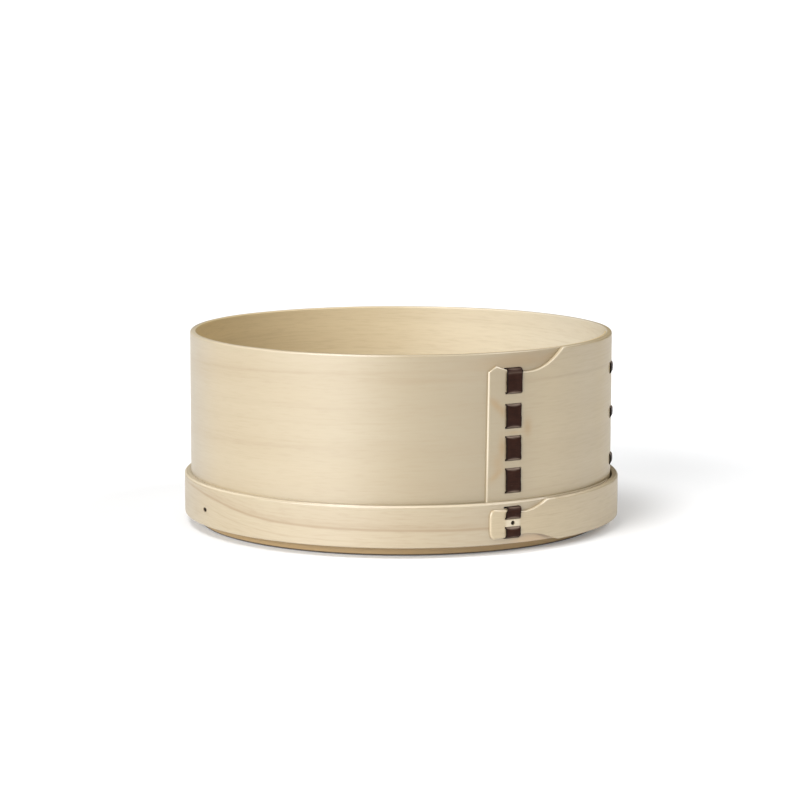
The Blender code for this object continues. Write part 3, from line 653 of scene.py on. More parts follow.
def make_hoop(material):
    unit = 92.8 * DEG
    half = (HOOP_WIDE / 2 + 0.22) / (94.0 * DEG)
    end = 360.0 + HOOP_INNER_END_AT
    slits = [(HOOP_AT - half, HOOP_AT + half, z - SLIT_HALF, z + SLIT_HALF) for pair in HOOP_STITCHES for z in pair]
    # Each peg hole is a square of cells whose rim is drawn onto a circle.
    ring = [-1.0, -0.71, -0.36, 0.0, 0.36, 0.71, 1.0]
    peg_turns = [(0.0, 12.8), (90.0, 12.0), (180.0, 11.8), (270.0, 11.0), (360.0, 12.8)]
    peg_row = 12.6

    corner = HOOP_CORNER_AT - HOOP_TONGUE_AT
    turns = [HOOP_TONGUE_AT + corner * s for s in (0.0, 0.015, 0.05, 0.1, 0.17, 0.26, 0.38, 0.52, 0.7, 0.85, 1.0)]
    turns += [HOOP_NECK_AT + (HOOP_MEETS_BOTTOM_AT - HOOP_NECK_AT) * k / 18 for k in range(19)] + [HOOP_MEETS_TOP_AT]
    turns += [end - d / unit for d in (0.3, 0.6, 1.2)]
    for low, high, _, _ in slits[:1]:
        turns += [low, high, low + 360.0, high + 360.0]
    for at, _ in peg_turns:
        turns += [at + PEG_HOLE * r / unit for r in ring]
    turns = lines_between(turns, HOOP_TONGUE_AT, end, 1.5, 0.015)

    high_flat, low_flat, tight = 15.9, 9.6, 0.95
    heights = [z for _, _, low, high in slits for z in (low, high)]
    heights += [peg_row + PEG_HOLE * r for r in ring] + [low_flat, high_flat]
    edge = (0.03, 0.1, 0.22, 0.38, 0.55, 0.75)
    heights = lines_between(heights, HOOP_BOTTOM + tight, HOOP_TOP - tight, 1.6, 0.02)
    heights = [HOOP_BOTTOM] + [HOOP_BOTTOM + d for d in edge] + heights
    heights += [HOOP_TOP - d for d in reversed(edge)] + [HOOP_TOP]

    steps = 60
    upper = [mix(HOOP_TONGUE_AT, HOOP_CORNER_AT, (k / 24) ** 2) for k in range(25)]
    upper += [mix(HOOP_CORNER_AT, 20.0, k / steps) for k in range(1, steps + 1)]
    outline = [(a * unit, hoop_edges(a)[0]) for a in reversed(upper)] + [(a * unit, hoop_edges(a)[1]) for a in upper]

    def spot(i, j):
        turn, z = turns[i], heights[j]
        if turn < HOOP_MEETS_BOTTOM_AT:
            low, high = hoop_edges(turn)
            room_high, room_low = max(high_flat + 0.05, high - tight), min(low_flat - 0.05, low + tight)
            if z > HOOP_TOP - tight + 1e-6:
                z = mix(room_high, high, (z - HOOP_TOP + tight) / tight)
            elif z > high_flat:
                z = mix(high_flat, room_high, (z - high_flat) / (HOOP_TOP - tight - high_flat))
            elif z < HOOP_BOTTOM + tight - 1e-6:
                z = mix(low, room_low, (z - HOOP_BOTTOM) / tight)
            elif z < low_flat:
                z = mix(room_low, low_flat, (z - HOOP_BOTTOM - tight) / (low_flat - HOOP_BOTTOM - tight))
        # Rows bend aside to put each peg hole at its own height.
        for at, height in peg_turns:
            near = 1.0 - ease(1.2, 6.0, abs(turn - at))
            if near > 0.0 and at < 359.0 and at > 1.0:
                band = ease(6.0, 9.4, z) * (1.0 - ease(15.4, 18.6, z))
                z += (height - peg_row) * near * band
            elif near > 0.0:
                band = ease(11.4, 11.5, z) * (1.0 - ease(13.9, 14.3, z))
                z += (height - peg_row) * near * band
        for at, height in peg_turns:
            across, up = (turn - at) * unit, z - height
            if max(abs(across), abs(up)) < PEG_HOLE * 1.02:
                size = max(abs(across), abs(up))
                long = math.hypot(across, up)
                size *= 0.86 if at in (0.0, 360.0) else 1.09
                wide, tall = PEG_LEFT_OVAL if at == 270.0 else (1.0, 1.0)
                if long > 1e-9:
                    turn, z = at + across / long * size * wide / unit, height + up / long * size * tall
        return turn, z

    def place(i, j):
        turn, z = spot(i, j)
        inner, outer = hoop_radii(turn)
        along = turn * unit
        inner_in = 0.0
        # Painted highlight along the hoop's top edge, stronger or weaker by azimuth where the lamps fall on it.
        pale = 0.95 * ease(215.0, 250.0, turn) * (1.0 - ease(280.0, 306.0, turn)) + 0.55 * ease(325.0, 338.0, turn) * (1.0 - 0.65 * ease(344.0, 364.0, turn))
        pale += 0.35 * (1.0 - ease(150.0, 215.0, turn))
        flat = pale * 1.3 * (1.0 - ease(0.05, 0.3, HOOP_TOP - z)) if turn > HOOP_MEETS_TOP_AT else 0.0
        flat = min(1.0, flat)
        # Drawn tight onto the wall, except where its inner end lifts it.
        if turn > HOOP_INNER_END_AT:
            tight = ease(HOOP_INNER_END_AT, HOOP_INNER_END_AT + HOOP_EASE + 20.0, turn)
            inner -= mix(0.36 - wall_wobble(turn, z), 0.12, ease(320.0, 360.0 + HOOP_TONGUE_AT, turn)) * tight
        if turn < 20.0:
            plain = ease(HOOP_MEETS_BOTTOM_AT - 2.0, 18.0, turn)
            # The tongue's lower edge is left crisper than the rest of it.
            bevel = mix(0.3, mix(0.56, 0.44, ease(1.0, 4.0, turn)), max(ease(8.5, 12.5, z), 1.0 - ease(-4.6, -2.0, turn)))
            gap = distance_to(outline, along, z)
            # Its tip is pared flatter.
            tip = 1.0 - ease(-5.6, -3.8, turn)
            outer_in = mix(bevel_in(gap, bevel) * mix(1.0, 0.72, tip), hoop_lip(z), plain)
            # Painted highlight along the tongue's bevelled edges and on the top face.
            painted_highlight_amount = mix(0.5, 0.1, ease(1.0, 4.0, turn)) * mix(0.25, 1.0, ease(-3.0, 0.5, turn)) * (1.0 - ease(0.35, 0.6, gap)) * (1.0 - plain) * ease(0.3, 0.5, bevel)
            painted_highlight_amount = max(painted_highlight_amount, plain * (1.0 - ease(0.4, 0.7, HOOP_TOP - z)) * 0.5)
            painted_highlight_amount = max(painted_highlight_amount, 0.75 * ease(7.5, 10.0, turn) * (1.0 - ease(12.0, 15.0, turn)) * (1.0 - ease(0.35, 0.65, gap)) * ease(16.0, 18.0, z))
            # Between the two stitches the wood around the peg is made paler.
            peg_pale_patch = (1.0 - ease(2.2, 3.5, abs(along))) * ease(11.0, 11.7, z) * (1.0 - ease(13.8, 14.7, z))
            painted_highlight_amount = max(painted_highlight_amount, 0.75 * peg_pale_patch)
        else:
            under = ease(360.0 + 8.0, 360.0 + 14.0, turn)
            outer_in = hoop_lip(z) * (1.0 - under)
            painted_highlight_amount = max(flat, pale * (1.0 - ease(0.4, 0.7, HOOP_TOP - z)) * (1.0 - under))
            inner_in = bevel_in((turns[-1] - turn) * unit, 0.5)
        thick = outer - inner
        inner_in = max(inner_in, round_in(min(HOOP_TOP - z, z - HOOP_BOTTOM), 0.04))
        outer_in, inner_in = min(outer_in, thick * 0.75), min(inner_in, thick * 0.2)
        wobble = 0.05 * wave(turn * 0.09, 5.0)
        outer += wobble - outer_in
        inner += inner_in
        level = z - hoop_sag(turn, z)
        return (
            polar(outer, turn, level),
            polar(inner, turn, level),
            (along, outer - 90.0, z),
            (along, inner - 90.0, z),
            (painted_highlight_amount, flat),
        )

    def keep(i, j):
        turn, z = (turns[i] + turns[i + 1]) / 2, (heights[j] + heights[j + 1]) / 2
        for low, high, under, over in slits:
            if under < z < over:
                layers = (0.0, 360.0) if low_flat < z < high_flat else (360.0,)
                if any(low + layer < turn < high + layer for layer in layers):
                    return False
        for at, _ in peg_turns:
            if abs(turn - at) * unit < PEG_HOLE and abs(z - peg_row) < PEG_HOLE:
                return False
        return True

    vertices, faces, grain, painted_highlight = sheet(len(turns), len(heights), place, keep)
    return publish("hoop_strip", vertices, faces, grain, material, "basket", "base_hoop", painted_highlight=painted_highlight)


# ---------------------------------------------------------------- foot ring


def make_ring(material):
    turns = [132.0 + 2.0 * k for k in range(180)]  # from its scarf once around
    heights = [0.0, 0.05, 0.18, 0.38, 0.65] + [mix(0.65, RING_TOP - 0.5, k / 8) for k in range(1, 9)]
    heights += [RING_TOP - d for d in (0.32, 0.15, 0.04, 0.0)]

    def place(i, j):
        turn, z = turns[i], heights[j]
        edge = max(round_in(z, 0.65), round_in(RING_TOP - z, 0.5))
        # A glued scarf shows as a fine slanted groove on both faces.
        off = (turn - 132.0 + 180.0) % 360.0 - 180.0
        seam = abs(off * 1.49 - (z - 8.5) * 0.9)
        groove = 0.12 * math.exp(-((seam / 1.2) ** 2))
        outer = RING_OUTER - edge - groove + 0.05 * wave(turn * 0.08, 8.0)
        inner = RING_INNER + edge + groove
        along = turn * 85.0 * DEG
        return polar(outer, turn, z), polar(inner, turn, z), (along, outer - 85.0, z), (along, inner - 85.0, z), (0.0, 0.0)

    vertices, faces, grain, _ = sheet(len(turns), len(heights), place, lambda i, j: True, closed=True)
    return publish("foot_band", vertices, faces, grain, material, "basket", "foot_ring")


# ---------------------------------------------------------------- lacing


def rounded(path, radius, steps=6):
    """The path with its corners turned into arcs."""
    out = [Vector(path[0])]
    for before, here, after in zip(path, path[1:], path[2:]):
        here, before, after = Vector(here), Vector(before), Vector(after)
        one, two = (before - here), (after - here)
        room = min(radius, one.length * 0.45, two.length * 0.45)
        start, stop = here + one.normalized() * room, here + two.normalized() * room
        for k in range(steps + 1):
            s = k / steps
            out.append(start * (1 - s) ** 2 + here * 2 * s * (1 - s) + stop * s**2)
    out.append(Vector(path[-1]))
    return out


def dense(path, most):
    out = [path[0]]
    for a, b in zip(path, path[1:]):
        many = max(1, math.ceil((b - a).length / most))
        out += [a.lerp(b, k / many) for k in range(1, many + 1)]
    return out


def make_lacing(name, node, at, wide, thick, path, bends, radius, material, seed, veer=None):
    """A strip of bark on a path of (radius, height) in the upright plane through the axis.
    bends holds the top, bottom and radius of each stitch, and the height of a fold in it if
    there is one. veer gives the sideways shift and the share of the width at a height."""
    line = dense(rounded(path, radius, 8), 0.45)
    unit_along = Vector((math.cos(at * DEG), math.sin(at * DEG), 0.0))
    # Rounded edges and a slightly crowned face.
    half, lip = wide / 2, thick / 2
    ring = []
    across = [-half + lip * 0.3] + [mix(-half + lip * 1.4, half - lip * 1.4, k / 8) for k in range(9)] + [half - lip * 0.3]
    ring += [(x, lip * (1.0 if abs(x) < half - lip else 0.78)) for x in across]
    ring += [(half, lip * 0.35), (half, -lip * 0.35)]
    ring += [(x, -lip * (1.0 if abs(x) < half - lip else 0.78)) for x in reversed(across)]
    ring += [(-half, -lip * 0.35), (-half, lip * 0.35)]
    vertices, faces, grain, painted_highlight = [], [], [], []
    travelled = 0.0
    for k, here in enumerate(line):
        before = line[max(0, k - 1)]
        after = line[min(len(line) - 1, k + 1)]
        if k:
            travelled += (here - before).length
        heading = (after - before).normalized()
        normal = Vector((-heading.y, heading.x))  # the same side of the strip all along
        swell, pinch, to_end, outside, fold_highlight = 0.0, 1.0, 9.0, 0.0, 0.0
        for top, bottom, radius_out, fold in bends:
            if bottom - 0.6 < here.y < top + 0.6:
                if fold and here.x > radius_out - 1.0:
                    # Painted highlight where the strip folds over an edge.
                    fold_highlight = 0.24 * math.exp(-(((here.y - fold) / 0.42) ** 2))
                share = clamp((here.y - bottom) / (top - bottom))
                outside = ease(radius_out - 1.2, radius_out - 0.3, here.x)
                swell = 0.14 * math.sin(math.pi * share) * outside
                pinch = 1.0 - 0.025 * math.sin(math.pi * share) * outside
                to_end = min(top - here.y, here.y - bottom)
        steer, narrow = veer(here.y) if veer else (0.0, 1.0)
        drift = 0.10 * wave(here.y * 0.5 + seed, seed) + steer
        for x, y in ring:
            # The middle of the strip rounds over into the slit, its edges are pinned close to it.
            lens = 1.0 - (x / half) ** 2
            dip = 0.30 * lens * clamp(1.0 - to_end / 1.7) ** 2
            crown = -0.08 * (x / half) ** 2
            rough = 0.02 * wave(here.y * 1.7 + x * 0.9, seed + 3.0)
            spread = x * pinch * narrow * (1.0 + 0.015 * wave(here.y * 0.35, seed + 1.0)) + drift
            lift = y + (crown if normal.x > 0.4 else 0.0) + rough
            point = here + normal * lift
            base = polar(point.x + swell - dip * outside, at, point.y)
            vertices.append(base + unit_along * spread * MM)
            grain.append((travelled + seed * 40.0, y + seed, x))
            # Painted highlight at the bends into the slits and at the fold.
            painted_highlight.append(max(fold_highlight, outside * (1.0 - ease(0.1, 0.25 + 0.7 * lens, to_end))))
    many = len(ring)
    for k in range(len(line) - 1):
        for m in range(many):
            n = (m + 1) % many
            faces.append((k * many + m, k * many + n, (k + 1) * many + n, (k + 1) * many + m))
    faces.append(tuple(range(many))[::-1])
    faces.append(tuple(range((len(line) - 1) * many, len(line) * many)))
    thing = publish(name, vertices, faces, grain, material, "basket", node, sharp=60.0, painted_highlight=painted_highlight)
    face_out(thing)
    return thing


def face_out(thing):
    work = bmesh.new()
    work.from_mesh(thing.data)
    bmesh.ops.recalc_face_normals(work, faces=work.faces)
    work.to_mesh(thing.data)
    work.free()
    thing.data.update()


def make_lacings(material):
    thick = 0.62
    rest = thick / 2 + 0.04
    for name, node, at, wide, stitches, top, bottom, seed in (
        ("front_bark_strip", "front_lacing", FRONT_AT, FRONT_WIDE, FRONT_STITCHES, 79.0, 20.9, 1.0),
        ("side_bark_strip", "side_lacing", SIDE_AT, SIDE_WIDE, SIDE_STITCHES, 77.0, 21.5, 2.0),
    ):
        inside = wall_radii(at + 360.0)[0] - rest
        outside = wall_radii(at)[1] + rest
        under = wall_radii(at + 360.0)[1] + rest
        path, bends = [(inside, top)], []
        for k, (high, low) in enumerate(stitches):
            if k == 0 and node == "front_lacing":
                # The first stitch starts above the tongue and climbs over its edge.
                path += [(inside, high), (under + 0.15, high), (outside - 0.1, high - 0.95), (outside, high - 1.8), (outside, low), (inside, low)]
                bends.append((high, low, outside, high - 1.6))
            else:
                path += [(inside, high), (outside, high), (outside, low), (inside, low)]
                bends.append((high, low, outside, None))
        path.append((inside, bottom))
        veer = lambda z: (side_lean(z) * WALL_RADIUS * DEG, 1.0)
        if node == "front_lacing":
            veer = lambda z: (0.22 * ease(62.0, 65.0, z) + 0.5 * ease(72.9, 74.9, z), 1.0 + 0.045 * ease(62.0, 65.0, z) - 0.04 * ease(72.9, 74.9, z))
        make_lacing(name, node, at, wide, thick, path, bends, 0.75, material, seed, veer)

    inside = HOOP_LAP_RADIUS + 0.45
    outside = hoop_radii(HOOP_AT)[1] + rest
    under = hoop_radii(HOOP_AT + 360.0)[1] + rest
    (a, b), (c, d) = HOOP_STITCHES
    path = [(inside, 16.5), (inside, a), (under + 0.1, a), (outside - 0.15, a - 0.9), (outside, a - 1.6), (outside, b), (inside, b)]
    path += [(inside, c), (outside, c), (outside, d + 1.3), (outside - 0.15, d + 0.7), (under, d), (inside, d), (inside, 9.2)]
    bends = [(a, b, outside, None), (c, d, outside, None)]
    veer = lambda z: (0.8 * ease(16.8, 19.0, z), 1.0 - 0.1 * ease(16.8, 19.0, z))
    make_lacing("hoop_bark_strip", "hoop_lacing", HOOP_AT, HOOP_WIDE, 0.58, path, bends, 0.6, material, 3.0, veer)


# ---------------------------------------------------------------- pegs, claws, floor


def turned(profile, sides, matrix):
    """Points and faces of a turned shape: (radius, along) from end to end, closed at both ends."""
    vertices, faces = [], []
    for radius, along in profile:
        for k in range(sides):
            a = 2 * math.pi * k / sides
            vertices.append(matrix @ (Vector((radius * math.cos(a), radius * math.sin(a), along)) * MM))
    for i in range(len(profile) - 1):
        for k in range(sides):
            n = (k + 1) % sides
            faces.append((i * sides + k, i * sides + n, (i + 1) * sides + n, (i + 1) * sides + k))
    faces.append(tuple(range(sides))[::-1])
    faces.append(tuple(range((len(profile) - 1) * sides, len(profile) * sides)))
    return vertices, faces


def make_pegs(material):
    for place, at, z in PEGS:
        outer = hoop_radii(at if at >= 0.0 else at + 360.0)[1] - (0.3 if place == "front" else 0.06)
        long = outer - 77.3
        profile = [(0.42, 0.0), (0.62, 0.3), (0.9, 1.2), (0.98, long - 0.35), (0.94, long - 0.12), (0.78, long), (0.3, long + 0.03)]
        out = polar(1.0, at, 0.0).normalized()
        turn = out.to_track_quat("Z", "Y").to_matrix().to_4x4()
        thin = 0.84 if place == "front" else 1.1
        profile = [(r * thin, a) for r, a in profile]
        wide, tall = PEG_LEFT_OVAL if place == "left" else (1.0, 1.0)
        vertices, faces = turned(profile, 20, Matrix.Translation(polar(77.3, at, z)) @ turn @ Matrix.Diagonal((wide, tall, 1.0, 1.0)))
        grain = [(radius_along, math.cos(2 * math.pi * k / 20) * r, math.sin(2 * math.pi * k / 20) * r) for r, radius_along in profile for k in range(20)]
        thing = publish("peg_end_" + place, vertices, faces, grain, material, "basket", "peg_" + place)
        face_out(thing)


def soften(vertices, faces, wide, segments, angle=25.0):
    """The shape with its sharp edges rounded."""
    work = bmesh.new()
    made = [work.verts.new(v) for v in vertices]
    for face in faces:
        work.faces.new([made[i] for i in face])
    bmesh.ops.recalc_face_normals(work, faces=work.faces)
    edges = [e for e in work.edges if len(e.link_faces) == 2 and e.calc_face_angle() > angle * DEG]
    bmesh.ops.bevel(work, geom=edges, offset=wide * MM, segments=segments, profile=0.6, affect="EDGES", clamp_overlap=True)
    work.verts.index_update()
    points = [v.co.copy() for v in work.verts]
    polygons = [tuple(v.index for v in f.verts) for f in work.faces]
    work.free()
    return points, polygons


def make_claws(material):
    for number, (place, at, _) in enumerate(PEGS):
        columns = []
        for k in range(9):
            turn = mix(-CLAW_HALF_ANGLE, CLAW_HALF_ANGLE, k / 8)
            inner = CLAW_INNER / math.cos(turn * DEG)
            columns.append(
                [
                    polar(CLAW_OUTER, at + turn, CLAW_BOTTOM),
                    polar(CLAW_OUTER, at + turn, CLAW_TOP),
                    polar(inner, at + turn, CLAW_TOP),
                    polar(inner, at + turn, CLAW_BOTTOM + CLAW_CHAMFER),
                    polar(inner + CLAW_CHAMFER, at + turn, CLAW_BOTTOM),
                ]
            )
        vertices = [p for column in columns for p in column]
        faces = [tuple(range(5))[::-1], tuple(range(40, 45))]
        for i in range(8):
            for m in range(5):
                n = (m + 1) % 5
                faces.append((i * 5 + m, i * 5 + n, i * 5 + 5 + n, i * 5 + 5 + m))
        vertices, faces = soften(vertices, faces, 0.6, 3)
        out, along = polar(1.0, at, 0.0).normalized(), polar(1.0, at + 90.0, 0.0).normalized()
        grain = [(v.dot(along) / MM + number * 90.0, v.dot(out) / MM, v.z / MM + number * 31.0) for v in vertices]
        publish("claw_block_" + place, vertices, faces, grain, material, "basket", "claw_" + place)


def make_floor(slat_wood, pin_wood):
    low = FLOOR_UNDER
    for index in range(SLATS):
        middle = (index - (SLATS - 1) / 2) * SLAT_PITCH
        rows = [middle + SLAT_WIDE * (k / 8 - 0.5) for k in range(9)]
        outline = [(math.sqrt(FLOOR_RADIUS**2 - y**2), y) for y in rows]
        outline += [(-x, y) for x, y in reversed(outline)]
        count = len(outline)
        vertices = [Vector((x, y, z)) * MM for z in (low, low + SLAT_THICK) for x, y in outline]
        faces = [tuple(range(count))[::-1], tuple(range(count, 2 * count))]
        faces += [(k, (k + 1) % count, count + (k + 1) % count, count + k) for k in range(count)]
        vertices, faces = soften(vertices, faces, 0.7, 3, 40.0)
        grain = [(v.x / MM + index * 211.0, v.z / MM + index * 7.7, v.y / MM + index * 43.0) for v in vertices]
        name = f"slat_{index + 1}"
        publish("floor_" + name, vertices, faces, grain, slat_wood, "slat_floor", name)
    for number, (name, side) in enumerate((("batten_left", -1), ("batten_right", 1))):
        top = low - BATTEN_GAP
        x0, x1 = side * BATTEN_AT - BATTEN_WIDE / 2, side * BATTEN_AT + BATTEN_WIDE / 2
        y0, y1, z0, z1 = -BATTEN_HALF, BATTEN_HALF, top - BATTEN_TALL, top
        cut = 3.0  # the lower corners of the ends are cut away
        side_view = [(y0, z1), (y0, z0 + cut), (y0 + cut, z0), (y1 - cut, z0), (y1, z0 + cut), (y1, z1)]
        vertices = [Vector((x, y, z)) * MM for x in (x0, x1) for y, z in side_view]
        faces = [tuple(range(6)), tuple(range(6, 12))[::-1]]
        faces += [(k, 6 + k, 6 + (k + 1) % 6, (k + 1) % 6) for k in range(6)]
        vertices, faces = soften(vertices, faces, 0.6, 3)
        grain = [(v.y / MM + 900.0 + number * 300.0, v.z / MM, v.x / MM + number * 77.0) for v in vertices]
        publish("floor_" + name, vertices, faces, grain, slat_wood, "slat_floor", name)
    number = 0
    for index in range(SLATS):
        y = clamp((index - (SLATS - 1) / 2) * SLAT_PITCH, -END_SLAT_PIN_AT, END_SLAT_PIN_AT)
        for x in (-BATTEN_AT, BATTEN_AT):
            number += 1
            long = SLAT_THICK + BATTEN_GAP + 3.6
            profile = [(0.4, 0.0), (0.75, 0.8), (0.82, long - 0.1), (0.74, long + 0.05), (0.5, long + 0.11), (0.2, long + 0.13)]
            vertices, faces = turned(profile, 16, Matrix.Translation(Vector((x, y, low - BATTEN_GAP - 3.6)) * MM))
            grain = [(a + number * 20.0, math.cos(2 * math.pi * k / 16) * r + number * 9.0, math.sin(2 * math.pi * k / 16) * r) for r, a in profile for k in range(16)]
            node = f"slat_pin_{number:02d}"
            thing = publish("floor_" + node, vertices, faces, grain, pin_wood, "slat_floor", node)
            face_out(thing)


# ---------------------------------------------------------------- stage


def make_camera():
    """The photograph's view: a long lens, 8 degrees above the horizon, 29 degrees left of the seam."""
    turn = Matrix.Rotation(-28.8 * DEG, 4, "Z")
    right = Vector((1.0, 0.0003, 0.00211)).normalized()
    ahead = Vector((0.0, 0.98979, -0.14253)).normalized()
    up = right.cross(ahead).normalized()
    right = ahead.cross(up).normalized()
    at = Vector((-0.00023, -1.18775, 0.22188))
    matrix = Matrix((right, up, -ahead)).transposed().to_4x4()
    matrix.translation = at
    data = bpy.data.cameras.new("photo_camera")
    data.sensor_fit = "HORIZONTAL"
    data.sensor_width = 36.0
    data.lens = 125.54
    data.clip_start, data.clip_end = 0.05, 9000.0
    data.dof.use_dof = False
    camera = bpy.data.objects.new("photo_camera", data)
    bpy.context.scene.collection.objects.link(camera)
    camera.matrix_world = turn @ matrix
    bpy.context.scene.camera = camera


def make_sun(name, azimuth, elevation, strength, spread, colour):
    data = bpy.data.lights.new(name, "SUN")
    data.energy = strength
    data.angle = spread * DEG
    data.color = colour
    thing = bpy.data.objects.new(name, data)
    bpy.context.scene.collection.objects.link(thing)
    # Azimuth is measured from the camera's side, growing to its right.
    a, e = (azimuth - 28.8) * DEG, elevation * DEG
    towards = Vector((math.sin(a) * math.cos(e), -math.cos(a) * math.cos(e), math.sin(e)))
    thing.rotation_mode = "QUATERNION"
    thing.rotation_quaternion = towards.to_track_quat("Z", "Y")
    return thing


SUNS = (
    # name, azimuth, elevation, strength, spread, colour
    ("key", -30.0, 20.0, 2.5, 30.0, (1.0, 1.0, 1.0)),
    ("key_left", -60.0, 20.0, 1.3, 30.0, (1.0, 1.0, 1.0)),
    ("top", -50.0, 68.0, 1.82, 30.0, (1.0, 1.0, 1.0)),
    ("right", 75.0, 45.0, 1.4, 30.0, (1.0, 1.0, 1.0)),
    ("low_right", 38.0, 12.0, 0.32, 30.0, (1.0, 1.0, 1.0)),
    ("back_right", 140.0, 50.0, 0.25, 30.0, (1.0, 1.0, 1.0)),
)
SKY = 0.02


def make_stage():
    t = Nodes("floor_white")
    place = t.add("ShaderNodeTexCoord")
    speck = t.noise(place.outputs["Object"], 9.0, 2.0)
    t.feed(t.surface, "Base Color", t.blend(t.span(speck, 0.3, 0.7, 0.0, 1.0), (0.766, 0.768, 0.771), (0.774, 0.775, 0.776)))
    # The table is a light box: a faint glow from below keeps the shadow pale.
    t.surface.inputs["Emission Color"].default_value = (0.98, 0.99, 1.0, 1.0)
    t.surface.inputs["Emission Strength"].default_value = 0.16
    t.surface.inputs["Roughness"].default_value = 0.9
    t.surface.inputs["Specular IOR Level"].default_value = 0.1
    # Rings out to the horizon, small near the basket.
    mesh = bpy.data.meshes.new("studio_floor")
    radii, sides = (0.05, 0.15, 0.3, 0.6, 1.5, 5.0, 20.0, 100.0, 600.0, 4000.0), 64
    points = [(r * math.cos(2 * math.pi * k / sides), r * math.sin(2 * math.pi * k / sides), 0.0) for r in radii for k in range(sides)]
    faces = [tuple(range(sides))]
    for i in range(len(radii) - 1):
        for k in range(sides):
            n = (k + 1) % sides
            faces.append((i * sides + k, (i + 1) * sides + k, (i + 1) * sides + n, i * sides + n))
    mesh.from_pydata(points, [], faces)
    mesh.materials.append(t.material)
    floor = bpy.data.objects.new("studio_floor", mesh)
    bpy.context.scene.collection.objects.link(floor)
    floor.location = (0.0, 0.0, -0.0002)

    world = bpy.data.worlds.new("studio")
    world.use_nodes = True
    sky = world.node_tree.nodes["Background"]
    sky.inputs["Color"].default_value = (1.0, 1.0, 1.0, 1.0)
    sky.inputs["Strength"].default_value = SKY
    bpy.context.scene.world = world
    for sun in SUNS:
        make_sun(*sun)
    view = bpy.context.scene.view_settings
    view.view_transform = "Standard"
    view.look = "None"
    view.exposure, view.gamma = 0.0, 1.0


make_camera()
make_stage()

PALE, WARM, LINE = (0.393, 0.322, 0.206), (0.384, 0.309, 0.191), (0.275, 0.192, 0.098)
wall_unit, hoop_unit = WALL_RADIUS * DEG, 92.8 * DEG
wall_wood = wood(
    "wall_softwood",
    PALE,
    WARM,
    LINE,
    ring=1.9,
    lines=0.37,
    slope=0.02,
    wander=1.4,
    # Inside face: the second colour is painted shade for the side in shadow.
    inner=((0.556, 0.504, 0.396), (0.640, 0.489, 0.250), (95 * wall_unit, 225 * wall_unit)),
    ior=1.67,
    # Mostly painted light and shade by azimuth, matched to where the lamps fall.
    tone_and_painted_light=(
        (-4 * wall_unit, 16 * wall_unit, (0.765, 1.0), (1.0, 1.0)),
        (20 * wall_unit, 110 * wall_unit, (1.04, 1.0), (1.07, 1.0)),
        (28 * wall_unit, 40 * wall_unit, (1.0, 0.975), (1.0, 1.18)),
        (55 * wall_unit, 100 * wall_unit, (1.0, 1.026), (1.0, 0.847)),
        (190 * wall_unit, 240 * wall_unit, (1.0, 0.88), (1.0, 0.84)),
        (257 * wall_unit, 277 * wall_unit, (1.0, 1.136), (1.0, 1.19)),
        (306 * wall_unit, 354 * wall_unit, (1.0, 0.77), (1.0, 1.07)),
    ),
    # Paler colour for the painted highlights on the edges and tops.
    cut=(0.60, 0.52, 0.385),
    stains_and_painted_shade=(
        (0.295, 0.170, 0.046),
        (
            (-3.8 * wall_unit, 60.6, 3.0, 2.0, -0.72, 0.72),
            (-1.9 * wall_unit, 57.6, 1.1, 2.4, 0.0, 0.45),
            (5.7 * wall_unit, 50.6, 1.9, 3.6, 0.0, 0.62),
            (1.6 * wall_unit, 49.0, 3.4, 0.7, 0.0, 0.40),
            (-2.0 * wall_unit, 43.2, 1.5, 4.2, 0.0, 0.66),
            (-3.8 * wall_unit, 31.8, 3.0, 1.8, 0.7, 0.62),
            (-3.2 * wall_unit, 36.8, 2.4, 3.2, 0.0, 0.42),
            # These two are partly warm colour and partly painted shade, under the rim and along the tongue's rising
            # edge.
            (364.0 * wall_unit, 77.6, 18.0, 3.4, 0.03, 0.50),
            (373.0 * wall_unit, 78.4, 4.5, 1.3, 0.30, 0.35),
        ),
    ),
    figure=(
        (341.0 * wall_unit, 71.2, 24.0, 1.0, 0.0, 0.30),
        (25.0 * wall_unit, 69.8, 40.0, 0.7, 0.0, 0.30),
    ),
    marks=(
        (74.3 - 0.02 * 330 * wall_unit, 0.8, 0.16, (250 * wall_unit, 275 * wall_unit), (355 * wall_unit, 372 * wall_unit)),
        (62.0 - 0.02 * 330 * wall_unit, 0.7, 0.13, (262 * wall_unit, 276 * wall_unit), (300 * wall_unit, 320 * wall_unit)),
        (45.0 - 0.02 * 330 * wall_unit, 0.9, 0.13, (258 * wall_unit, 272 * wall_unit), (305 * wall_unit, 325 * wall_unit)),
    ),
)
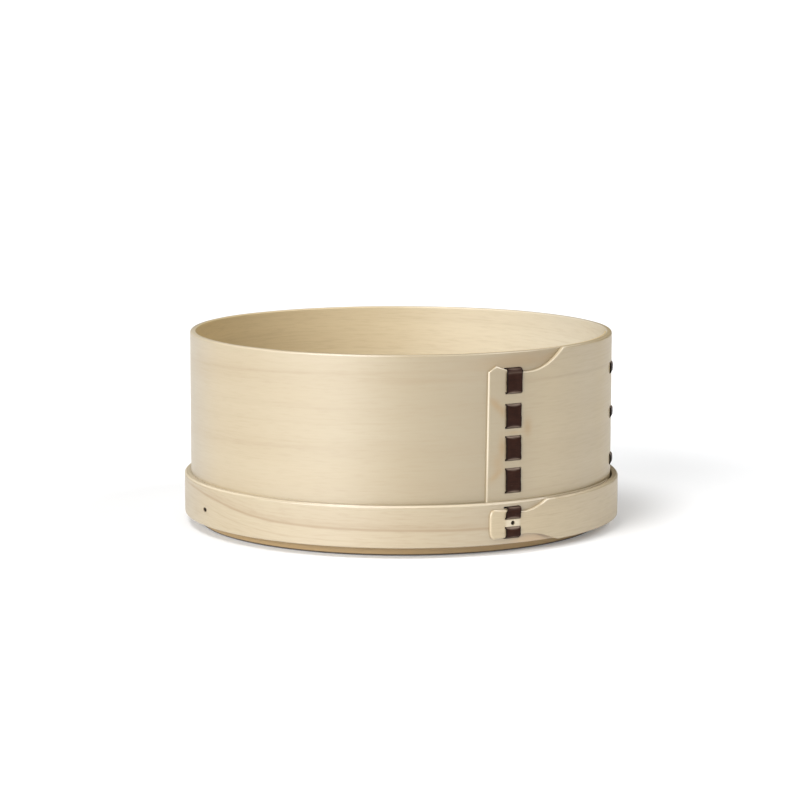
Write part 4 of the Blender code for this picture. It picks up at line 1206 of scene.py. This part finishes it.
hoop_wood = wood(
    "hoop_softwood",
    PALE,
    (0.384, 0.309, 0.194),
    LINE,
    ring=1.7,
    lines=0.58,
    wander=0.7,
    ior=1.67,
    # Mostly painted light and shade by azimuth, matched to where the lamps fall.
    tone_and_painted_light=(
        (20 * hoop_unit, 110 * hoop_unit, (1.06, 1.0), (1.10, 1.0)),
        (28 * hoop_unit, 40 * hoop_unit, (1.0, 1.0), (1.0, 1.09)),
        (55 * hoop_unit, 100 * hoop_unit, (1.0, 1.0), (1.0, 0.917)),
        (190 * hoop_unit, 240 * hoop_unit, (1.0, 0.93), (1.0, 0.88)),
        (257 * hoop_unit, 277 * hoop_unit, (1.0, 1.075), (1.0, 1.136)),
        (325 * hoop_unit, 358 * hoop_unit, (1.0, 0.90), (1.0, 1.0)),
    ),
    stains_and_painted_shade=(
        (0.43, 0.288, 0.15),
        (
            (364.0 * hoop_unit, 5.4, 6.5, 2.4, 0.0, 0.75),
            (369.0 * hoop_unit, 5.0, 6.5, 2.4, -0.1, 0.85),
            # A dark line of painted shadow in the crease under the tongue's lower edge.
            (369.9 * hoop_unit, 5.8, 3.8, 0.5, -0.31, 0.85, (0.16, 0.10, 0.045)),
        ),
    ),
    # Paler colour for the painted highlights on the edges and tops.
    cut=(0.60, 0.52, 0.385),
    curve=(280.0 * hoop_unit, 18.0 * hoop_unit, 4.35),
    marks=(
        (12.9, 0.5, 0.8, (246 * hoop_unit, 262 * hoop_unit), (352 * hoop_unit, 372 * hoop_unit)),
        (14.3, 0.8, 0.25, (250 * hoop_unit, 290 * hoop_unit), (340 * hoop_unit, 372 * hoop_unit)),
    ),
)
ring_unit = 85.0 * DEG
ring_wood = wood(
    "foot_softwood",
    (0.40, 0.276, 0.132),
    (0.375, 0.254, 0.118),
    (0.28, 0.170, 0.068),
    ring=1.6,
    lines=0.4,
    wander=0.9,
    specular=0.6,
    # Painted contact shade along the bottom edge.
    foot=(0.35, 0.95, (0.05, 0.036, 0.026)),
    # Painted light: the ring is made lighter on its shaded right-hand side.
    tone_and_painted_light=(
        (346 * ring_unit, 372 * ring_unit, (1.0, 1.15), (1.0, 1.0)),
        (420 * ring_unit, 480 * ring_unit, (1.0, 1.0 / 1.15), (1.0, 1.0)),
    ),
)
claw_wood = wood("claw_softwood", (0.43, 0.345, 0.225), (0.41, 0.325, 0.205), LINE, ring=1.4, lines=0.4, wander=0.8)
slat_wood = wood("slat_softwood", (0.46, 0.37, 0.25), (0.445, 0.352, 0.232), LINE, ring=2.4, lines=0.42, wander=2.2)
bark_skin = bark("cherry_bark")
# Near-black peg ends: the dark dots where the pegs sit in their holes.
peg_bamboo = bamboo("near_black_bamboo", (0.022, 0.013, 0.007), (0.008, 0.005, 0.003))
pin_bamboo = bamboo("plain_bamboo", (0.39, 0.285, 0.15), (0.22, 0.13, 0.06))

make_wall(wall_wood)
make_hoop(hoop_wood)
make_ring(ring_wood)
make_lacings(bark_skin)
make_pegs(peg_bamboo)
make_claws(claw_wood)
make_floor(slat_wood, pin_bamboo)
